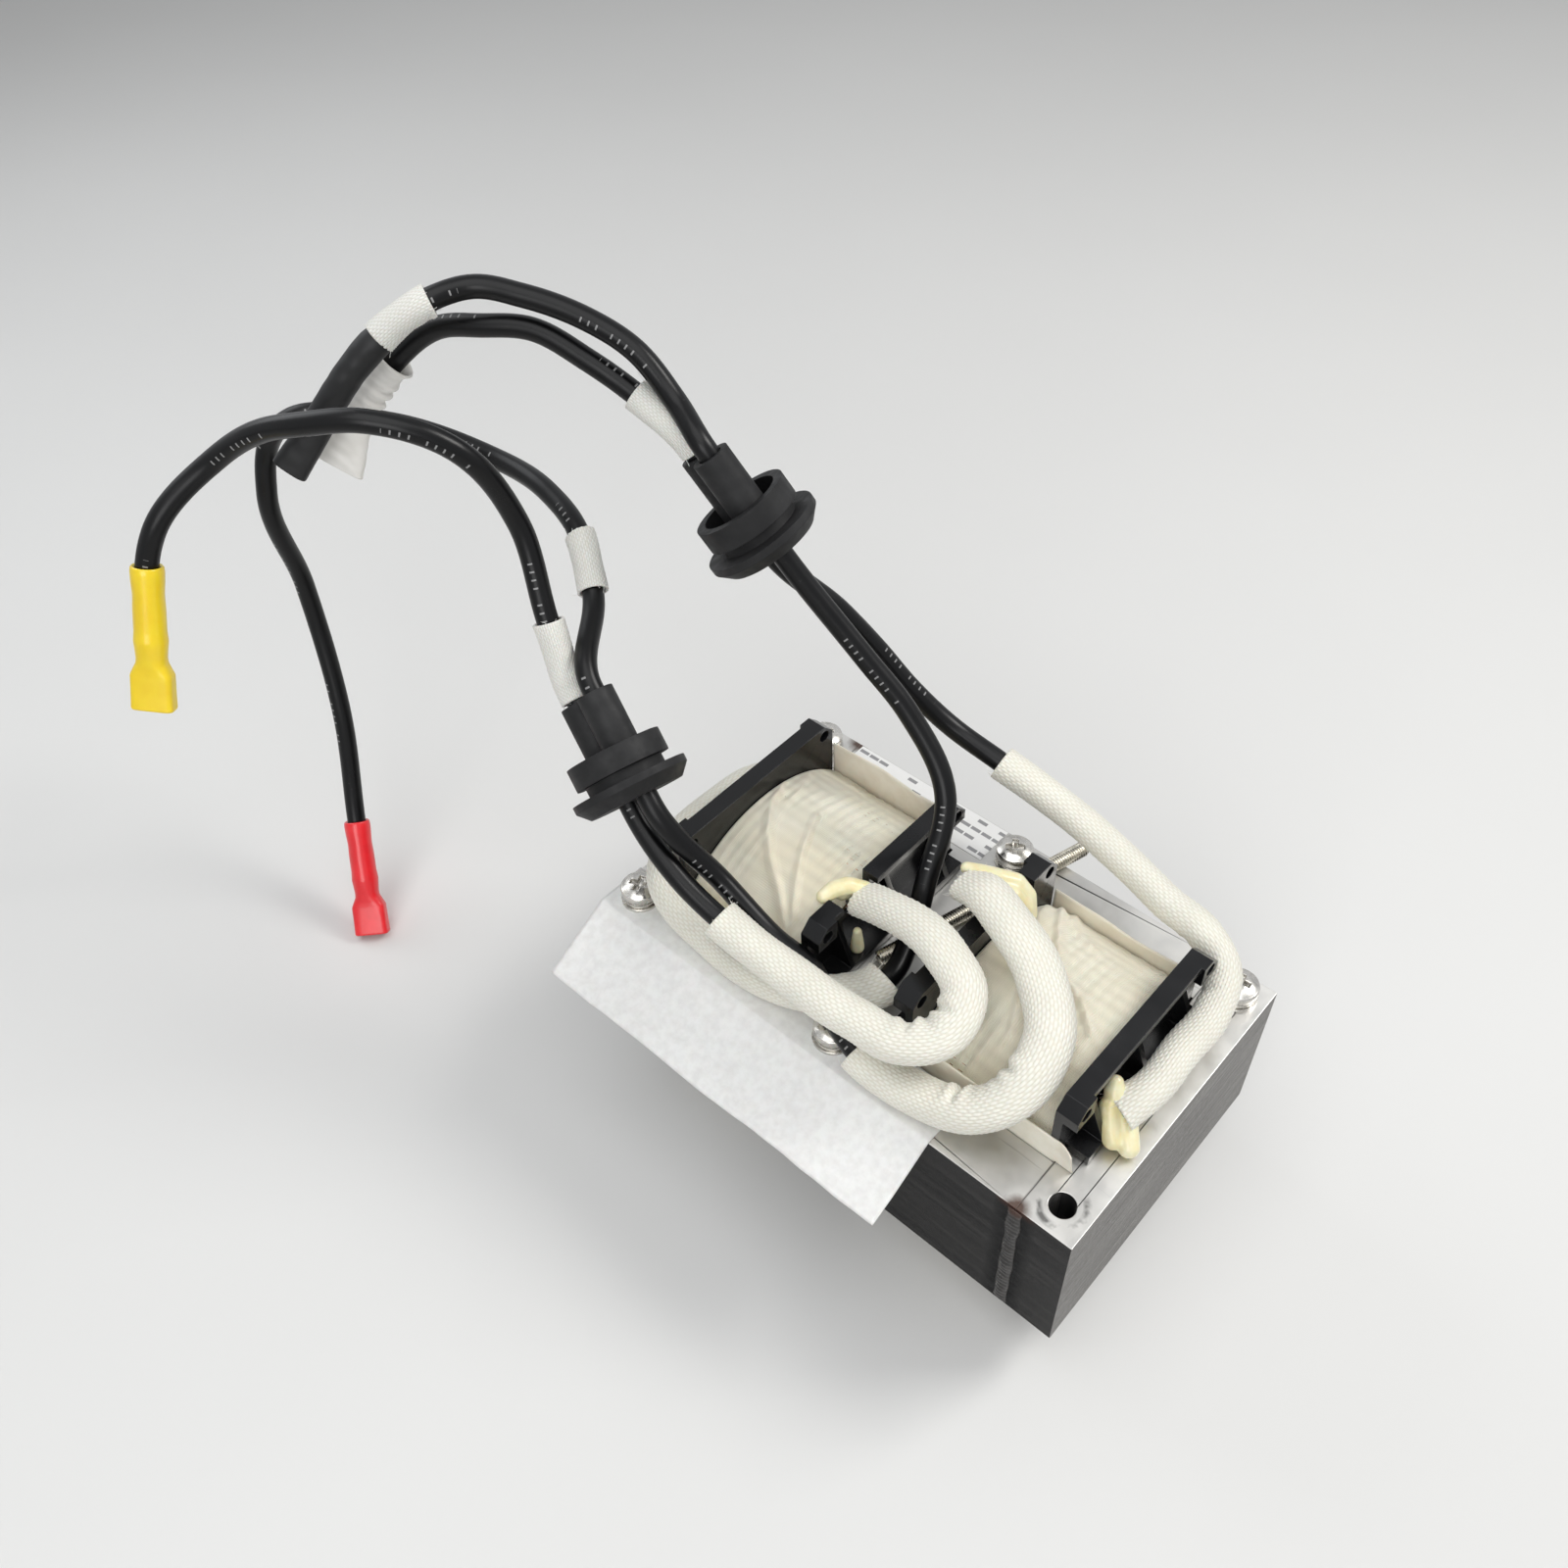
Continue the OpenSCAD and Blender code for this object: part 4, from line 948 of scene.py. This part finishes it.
def add_leads():
    lead_white, white_end = lead("white", 22)
    lead_black, black_end = lead("black", 25)
    lead_yellow, yellow_end = lead("yellow", len(YELLOW) - 1)
    lead_red, red_end = lead("red", len(RED) - 1)
    shrink_white = shrink("white", 21, 23, WHITE_SHRINK, WHITE_RUMPLE, 3, WHITE_MOUTH, WHITE_RIDGES,
                          WHITE_ASIDE)
    shrink_black = shrink("black", 24, 26, BLACK_SHRINK, BLACK_RUMPLE, 5, BLACK_MOUTH, [], BLACK_ASIDE)
    cover_yellow = cover("yellow", YELLOW, "yellow_vinyl")
    cover_red = cover("red", RED, "red_vinyl")
    declare("white", lead_white, white_end, "fitting", sleeve("white"), marker("white"), shrink_white,
            "grommet_upper")
    declare("black", lead_black, black_end, "fitting", sleeve("black"), marker("black"), shrink_black)
    declare("yellow", lead_yellow, yellow_end, "connector", sleeve("yellow"), marker("yellow"),
            cover_yellow, "terminal_yellow", "grommet_lower")
    declare("red", lead_red, red_end, "connector", sleeve("red"), marker("red"), cover_red, "terminal_red")


add_leads()


# -------------------------------------------------------------- coils and papers

MID_Z = CORE_TOP / 2
COIL_LOW, COIL_HIGH = box_mm("tape_right")
CROWN_R = COIL_HIGH[2] - MID_Z
TAPE_T = 0.45
STEP = 0.75


def coil_profile(crown, half_w):
    """Points round a coil's section in Y and Z, which way out is there, and the arc from its top."""
    turn = math.asin(half_w / crown)
    low, high = MID_Z - crown * math.cos(turn), MID_Z + crown * math.cos(turn)
    arc = np.linspace(-turn, turn, round(2 * turn * crown / STEP))
    side = np.linspace(high, low, round((high - low) / STEP))[1:-1]
    top = np.stack([np.sin(arc), np.cos(arc)], axis=1)
    rear = np.stack([np.full(len(side), half_w), side], axis=1)
    front = np.stack([np.full(len(side), -half_w), side[::-1]], axis=1)
    out = np.concatenate([top, rear * 0 + (1, 0), -top, front * 0 + (-1, 0)])
    loop = np.concatenate([crown * top + (0, MID_Z), rear, -crown * top + (0, MID_Z), front])
    run = np.cumsum(np.linalg.norm(loop - np.roll(loop, 1, axis=0), axis=1))
    return loop, out, run - run[len(arc) // 2]


def ridge(x, s, line, width, height):
    """A raised fold along a line of (x, arc) points, steeper on one side."""
    line = np.array(line, float)
    best = np.full(np.broadcast(x, s).shape, 1e9)
    for a, b in zip(line[:-1], line[1:]):
        span = b - a
        t = np.clip(((x - a[0]) * span[0] + (s - a[1]) * span[1]) / (span @ span), 0, 1)
        gap = np.hypot(x - a[0] - t * span[0], s - a[1] - t * span[1])
        turn = np.where(span[0] * (s - a[1]) - span[1] * (x - a[0]) < 0, -1, 1)
        best = np.where(gap < np.abs(best), gap * turn, best)
    wide = np.where(best > 0, width * 1.8, width * 0.7)
    return height * np.exp(-(best / wide) ** 2)


def uneven(x, s, draw, count, low, high):
    """Smooth uneven heights, from -1 to 1 or so, with waves between two lengths."""
    total = np.zeros(np.broadcast(x, s).shape)
    for _ in range(count):
        length, turn, phase = draw.uniform(low, high), draw.uniform(0, math.pi), draw.uniform(0, math.tau)
        total += np.sin(math.tau * (x * math.cos(turn) + s * math.sin(turn)) / length + phase)
    return total / math.sqrt(count)


# Folds of the tape on the crown: points of (x, arc from the top towards the rear), width, height
FOLDS = {
    "left": [
        ([(-20.5, -30), (-22.2, -25.5), (-27, -18), (-31.6, -10.3), (-35, -4), (-38.5, 4)], 0.8, 1.1),
        ([(-22, -29), (-25, -24), (-31, -18.5), (-39, -12.4), (-44.5, -7), (-49, -1), (-53, 8)], 0.9, 1.15),
        ([(-44.5, -7), (-47, 3), (-50, 14), (-53.5, 19)], 0.8, 0.5)],
    "right": [
        ([(20.5, 26), (24, 18), (28.5, 10), (32, 4.8), (37.5, 1.8), (41.9, -0.2), (47.6, -5)], 1.0, 1.5),
        ([(17.5, 24), (20.5, 14), (25, 4), (30, -6), (33.5, -15)], 1.3, 1.0),
        ([(23, 31), (25, 24), (30, 19), (34, 17)], 1.1, 0.8)],
}


def tape(side, direction, seed):
    """Ribbed cloth tape, wound in bands, with some folds where it crosses itself."""
    draw = np.random.default_rng(seed)
    loop, out, run = coil_profile(CROWN_R, COIL_HIGH[1])
    xs = np.linspace(COIL_LOW[0], COIL_HIGH[0], 108)
    x, s = direction * xs[:, None], run[None, :]
    band = np.abs(((xs[:, None] + 0.25 * np.sin(s / 7)) / TAPE_BAND) % 1.0 - 0.5) * 2
    depth = np.clip(0.4 + 0.7 * uneven(x, s, draw, 5, 18, 45), 0.05, 1)
    height = -0.36 * depth * (0.5 - 0.5 * np.cos(math.pi * band))
    height = height + 0.16 * uneven(x, s, draw, 8, 7, 22) + 0.05 * uneven(x, s, draw, 8, 2.5, 5)
    height = np.where(np.abs(s) < 32, height + sum(ridge(x, s, *fold) for fold in FOLDS[side]), height)
    edge = np.minimum(xs - xs[0], xs[-1] - xs)[:, None]
    height = height * np.clip(edge / 1.2, 0, 1) - 0.4 * np.exp(-edge / 0.6)
    height = np.where(out[:, 1] == 0, np.clip(0.3 * height, -0.3, 0.05), height)
    back = np.array([xs[-1], xs.mean(), xs[0]])
    height = np.concatenate([height, np.full((3, len(loop)), -TAPE_T)])
    across = np.concatenate([xs, back])
    points = np.empty((*height.shape, 3))
    points[..., 0] = direction * across[:, None]
    points[..., 1:] = loop + height[..., None] * out
    build = Build().grid(points, np.append(across, xs[0]) / TAPE_THREAD,
                         np.append(run, run[-1] + STEP) / TAPE_RIB, round_row=True, round_column=True)
    build.piece(f"tape_{side}_cloth", "cloth_tape", f"tape_{side}")


def thin_sheet(name, node, points, thickness, slot):
    """A sheet from a grid of points that lie on its inner face."""
    build = Build().grid(points)
    piece = add_mesh(name, np.vstack(build.points), build.faces, MATERIALS[slot], build.uvs)
    thick = piece.modifiers.new("thickness", "SOLIDIFY")
    thick.thickness = thickness * MM
    thick.offset = -1
    return stand_for(piece, node)


PAPER_T = 0.3
TAIL_PAST = 55.7


def liner(name, seed):
    """A paper between coil and core, free and a little wavy above the core."""
    draw = np.random.default_rng(seed)
    low, high = box_mm(name)
    rear = low[1] > 0
    xs = np.linspace(low[0], high[0], 60)[None, :]
    zs = np.linspace(low[2], high[2], 70)[:, None]
    free = np.clip((zs - CORE_TOP) / 8, 0, 1.3)
    wave = free * 0.30 * uneven(xs, 0.3 * zs, draw, 5, 14, 40) + 0.03 * uneven(xs, zs, draw, 5, 5, 15)
    tail = np.clip((xs - TAIL_PAST) / (high[0] - TAIL_PAST), 0, 1) if high[0] > TAIL_PAST else 0 * xs
    inner = low[1] if rear else high[1]
    y = inner + (np.clip(wave, -0.4, 0.4) - 2.0 * tail ** 1.6 * np.clip(free, 0, 1))
    z = zs + 0.35 * free * uneven(xs, 0 * zs, draw, 4, 20, 45) + 0.8 * tail * free
    z = np.where(tail > 0, np.maximum(z, CORE_TOP + 0.45), z)
    points = np.stack([xs + 0 * zs, y + 0 * zs, z + 0 * xs], axis=-1)
    return thin_sheet(f"{name}_paper", name, points if rear else points[:, ::-1], PAPER_T, "paper")


def insulation_sheet():
    """White sheet: flat under two screws, then folded over the edge of the core."""
    draw = np.random.default_rng(11)
    low, high = box_mm("insulation_sheet")
    top_z = CORE_TOP + PAPER_T
    fold_y = -CORE_HALF_W - 0.08
    drop = math.radians(30)
    flap = (low[1] - fold_y) / -math.cos(drop)
    bend = 0.5
    flat = [(y, top_z) for y in np.linspace(high[1], fold_y + bend, 18)]
    turn = [(fold_y + bend - 2 * bend * math.sin(a), top_z - 2 * bend * (1 - math.cos(a)))
            for a in np.linspace(0.1, drop, 4)]
    end = turn[-1]
    runs = np.linspace(0, flap - bend, 30)[1:]
    hang = [(end[0] - r * math.cos(drop), end[1] - r * math.sin(drop)) for r in runs]
    line = np.array(flat + turn + hang)
    free = np.concatenate([np.zeros(len(flat) + len(turn)), runs / runs[-1]])[:, None]
    xs = np.linspace(low[0], high[0], 110)[None, :]
    lift = free ** 1.5 * (0.55 * uneven(xs, 20 * free, draw, 4, 40, 90) + 0.5 * np.cos((xs - 5) / 21))
    lift = lift + 0.04 * uneven(xs, 20 * free, draw, 8, 4, 11) * np.clip(0.3 + free, 0, 1)
    lift = lift + 1.3 * free ** 2 * np.exp(-(high[0] - xs) / 9)
    lift = lift + 0.8 * free ** 2 * np.exp(-(xs - low[0]) / 8)
    ragged = 1 + 0.004 * uneven(xs, 0 * free, draw, 5, 6, 30) * free
    points = np.stack([xs + 0 * free, fold_y + (line[:, :1] - fold_y) * ragged,
                       line[:, 1:] + lift + 0 * xs], axis=-1)
    piece = thin_sheet("insulation_sheet_paper", "insulation_sheet", points, PAPER_T, "white_sheet")


tape("left", -1, 21)
tape("right", 1, 22)
for i, place in enumerate(("rear_left", "rear_right", "front_left", "front_right")):
    liner(f"liner_{place}", 30 + i)
insulation_sheet()


# ------------------------------------------------------------------ fasteners

FLAT_WASHER_T = 1.0
SPRING_WASHER_T = 1.3
SPRING_WASHER_R = 4.5
WASHER_BORE_R = 2.65
HEAD_R = 4.75
HEAD_H = 3.7
SHANK_R = 2.2
SCREW_L = 54.0
SCREW_SIDES = 120
SCREW_PITCH = 0.8
ROD_R = 2.0
ROD_L = 63.0
ROD_PITCH = 0.7
ROD_SIDES = 24
SCREWS = [(-HOLE_X, -HOLE_Y, PAPER_T, 20), (0, -HOLE_Y, PAPER_T, 65), (0, HOLE_Y, 0, 35),
          (HOLE_X, HOLE_Y, 0, 10), (-HOLE_X, HOLE_Y, 0, 50)]


def thread(runs, angles, pitch, depth):
    """Depth of a helical thread below its crest, with narrow flats."""
    saw = np.abs(((runs[:, None] / pitch - angles[None, :] / math.tau) % 1.0) - 0.5) * 2
    return -depth * np.clip(1.25 * saw - 0.1, 0, 1)


def step_down(x, edge, blur):
    """1 inside an edge and 0 outside it, with a soft change."""
    return np.clip(0.5 - (x - edge) / blur, 0, 1)


def screw_rings():
    """Rings of radius and height, with the head's underside at height 0."""
    angles = around(SCREW_SIDES)
    top_r = np.concatenate([np.linspace(0.12, 2.7, 26), np.linspace(2.9, HEAD_R - 0.35, 8)])
    dome = 0.62 * HEAD_H + 0.38 * HEAD_H * (1 - (top_r / HEAD_R) ** 2.4)
    x = top_r[:, None] * np.cos(angles)
    y = top_r[:, None] * np.sin(angles)
    reach = np.maximum(np.abs(x), np.abs(y))
    width = np.minimum(np.abs(x), np.abs(y))
    cut = step_down(width, 0.68, 0.22) * step_down(reach, 2.35, 0.25) * (1.75 - 0.38 * reach)
    radius = [np.broadcast_to(top_r[:, None], x.shape)]
    height = [dome[:, None] - cut]
    rest_r = [HEAD_R - 0.12, HEAD_R, HEAD_R, HEAD_R - 0.15, SHANK_R + 0.25, SHANK_R]
    rest_z = [0.66 * HEAD_H, 0.58 * HEAD_H, 0.12, 0, 0, -0.3]
    thread_start = -FLAT_WASHER_T - SPRING_WASHER_T - PAPER_T - CORE_TOP
    runs = np.arange(thread_start, -SCREW_L, -SCREW_PITCH / 6)
    fade = np.clip((thread_start - runs) / 0.8, 0, 1) * np.clip((runs + SCREW_L) / 0.6, 0.35, 1)
    crest = SHANK_R + (2.5 - SHANK_R) * fade[:, None]
    radius += [np.full((1, SCREW_SIDES), r) for r in rest_r]
    height += [np.full((1, SCREW_SIDES), z) for z in rest_z]
    radius.append(crest + thread(runs, angles, SCREW_PITCH, 0.42) * fade[:, None])
    height.append(runs[:, None] + np.zeros((1, SCREW_SIDES)))
    return np.concatenate(radius), np.concatenate(height), angles


def add_screws():
    radius, height, angles = screw_rings()
    screws, springs = Build(), Build()
    for x, y, lift, spin in SCREWS:
        seat = CORE_TOP + lift + FLAT_WASHER_T
        turned = angles + math.radians(spin)
        screws.tube(np.stack([x + radius * np.cos(turned), y + radius * np.sin(turned),
                              seat + SPRING_WASHER_T + height], axis=-1))
        way = np.radians(np.linspace(4, 356, 90) + spin * 3)[:, None]
        corner = around(16) + math.tau / 32
        half_w = (SPRING_WASHER_R - WASHER_BORE_R) / 2
        out = squared(np.cos(corner), 0.4) * half_w
        up = squared(np.sin(corner), 0.4) * (SPRING_WASHER_T - 0.12) / 2
        far = WASHER_BORE_R + half_w + out
        climb = np.linspace(-0.06, 0.06, 90)[:, None]
        springs.tube(np.stack([x + far * np.cos(way), y + far * np.sin(way),
                               seat + SPRING_WASHER_T / 2 + climb + up + 0 * way], axis=-1))
    screws.piece("mounting_screws_cut", "nickel_steel", "mounting_screws")
    springs.piece("spring_washers_split", "nickel_steel", "spring_washers")


def add_rod():
    """The loose threaded rod, on the core between the coils."""
    turn = math.radians(16)
    start = np.array([-5.5, -12, CORE_TOP + 2.05])
    route = Route([start, start + ROD_L * np.array([math.sin(turn), math.cos(turn), 0])])
    runs = np.arange(0, route.length, ROD_PITCH / 7)
    angles = around(ROD_SIDES)
    ends = np.clip(np.minimum(runs, route.length - runs) / 0.5, 0, 1)[:, None]
    relief = thread(runs, angles, ROD_PITCH, 0.36) * (0.4 + 0.6 * ends) - 0.25 * (1 - ends)
    build = Build().tube(rings(route, runs, ROD_R, ROD_R, ROD_SIDES, None, relief))
    build.piece("threaded_rod_cut", "nickel_steel", "threaded_rod", MATERIALS["rod_steel"])


def weld(node, seed):
    """A weld bead with the ripples of its pool."""
    draw = np.random.default_rng(seed)
    low, high = box_mm(node)
    middle, rear = (low[0] + high[0]) / 2, low[1] > 0
    base, rise, half = (low[1] if rear else high[1]), high[1] - low[1], (high[0] - low[0]) / 2
    zs = np.linspace(low[2], high[2], 200)[:, None]
    t = np.linspace(-1, 1, 17)[None, :]
    wide = half * (1 + 0.08 * uneven(zs, 0 * zs, draw, 5, 3, 9))
    ripple = 0.5 + 0.5 * np.sin(math.tau * (zs / 1.5 + 0.35 * t ** 2))
    swell = 0.82 + 0.12 * ripple + 0.10 * uneven(zs, t * 3, draw, 6, 2, 7)
    ends = np.clip(np.minimum(zs - low[2], high[2] - zs) / 1.2, 0.15, 1) ** 0.5
    y = rise * (1 - t ** 2) ** 0.7 * swell * ends
    front = np.stack([middle + wide * t, base + (y if rear else -y), zs + 0 * t], axis=-1)
    back = front[:, ::-1].copy()
    back[..., 1] = base + (-0.15 if rear else 0.15)
    build = Build().tube(np.concatenate([front, back], axis=1))
    build.piece(f"{node}_bead", "weld_steel", node)


add_screws()
add_rod()
for i, place in enumerate(("front_left", "front_right", "rear_left", "rear_right")):
    weld(f"weld_{place}", 40 + i)


# ----------------------------------------------------------------------- glue

GLUE_SHRINKS = 0.35


def blob(name, node, chains):
    """Hardened glue: balls of (x, y, z, radius), strung along chains and melted together."""
    shell = bmesh.new()
    for chain in chains:
        chain = np.array(chain, float)
        for a, b in zip(chain[:-1], chain[1:]):
            count = max(2, round(np.linalg.norm((b - a)[:3]) / 0.5))
            for t in np.linspace(0, 1, count):
                x, y, z, r = a + t * (b - a)
                bmesh.ops.create_icosphere(shell, subdivisions=2, radius=(r + GLUE_SHRINKS) * MM,
                                           matrix=Matrix.Translation(Vector((x, y, z)) * MM))
    mesh = bpy.data.meshes.new(name)
    shell.to_mesh(mesh)
    shell.free()
    mesh.materials.append(MATERIALS["glue"])
    piece = bpy.data.objects.new(name, mesh)
    scene.collection.objects.link(piece)
    melt = piece.modifiers.new("melt", "REMESH")
    melt.mode = "VOXEL"
    melt.voxel_size = 0.28 * MM
    melt.use_smooth_shade = True
    smooth = piece.modifiers.new("smooth", "SMOOTH")
    smooth.iterations = 8
    return stand_for(piece, node)


blob("glue_left_inner_blob", "glue_left_inner", [
    [(-18, -17.5, 64.6, 1.5), (-17.3, -14.5, 65.0, 1.9), (-15.5, -11.5, 65.0, 1.9), (-13, -8.8, 63.2, 1.8),
     (-10.5, -8.1, 62.6, 1.6), (-8, -6.4, 61.6, 1.2)],
    [(-16.5, -13, 63.4, 1.8), (-15.6, -9.5, 61.8, 2.0)],
    [(-11, -13.5, 53.5, 0.8), (-11, -13.5, 49.5, 1.3), (-11, -13.5, 47.6, 1.5)]])
blob("glue_right_inner_blob", "glue_right_inner", [
    [(4, 7.4, 69.4, 1.2), (7.5, 8.4, 69.6, 1.7), (11.5, 9.8, 69.0, 2.3), (14.5, 12.2, 67.8, 2.2),
     (17.5, 12.8, 65.0, 2.0), (19.5, 11.5, 61.5, 1.6)],
    [(12.5, 8.8, 67.8, 2.6), (15.9, 9.0, 67.0, 2.4), (18.6, 10.2, 64, 2.2), (20.0, 10.0, 60.5, 1.8)],
    [(14.5, 9.5, 64.0, 2.2), (16.0, 11.0, 62.0, 2.0)]])
blob("glue_right_outer_blob", "glue_right_outer", [
    [(57.9, -10, 56.0, 1.4), (58.4, -11, 54.2, 2.1), (60.0, -11.5, 51.8, 2.8), (62.4, -12.6, 49.6, 2.8),
     (64.6, -14.5, 47.8, 2.6), (66.4, -16.0, 46.7, 2.2)],
    [(60.6, -10.2, 51.0, 2.4), (62.8, -8.2, 49.8, 2.0), (64.6, -6.4, 49.3, 1.5)],
    [(59.2, -13.5, 52.0, 2.2), (61.2, -15.5, 49.4, 2.4), (63.0, -16.8, 47.4, 2.3)]])


# ------------------------------------------------- edges of the pieces that stay

EDGES = {
    0.18: ("core_e_stack", "core_yoke_left", "core_yoke_right"),
    0.22: ("bobbin_left", "bobbin_right"),
    0.12: ("flat_washers",),
    0.35: ("grommet_upper", "grommet_lower"),
    0.1: ("terminal_yellow", "terminal_red"),
}
for width, nodes in EDGES.items():
    for node in nodes:
        soften(node, width)


# ------------------------------------------------------------------- finishing

def dress_nodes():
    """Gives each CAD node that still shows the material of its slot."""
    for node, piece in frame["nodes"].items():
        piece.data.materials.clear()
        piece.data.materials.append(MATERIALS[SLOT_OF[node]])


dress_nodes()
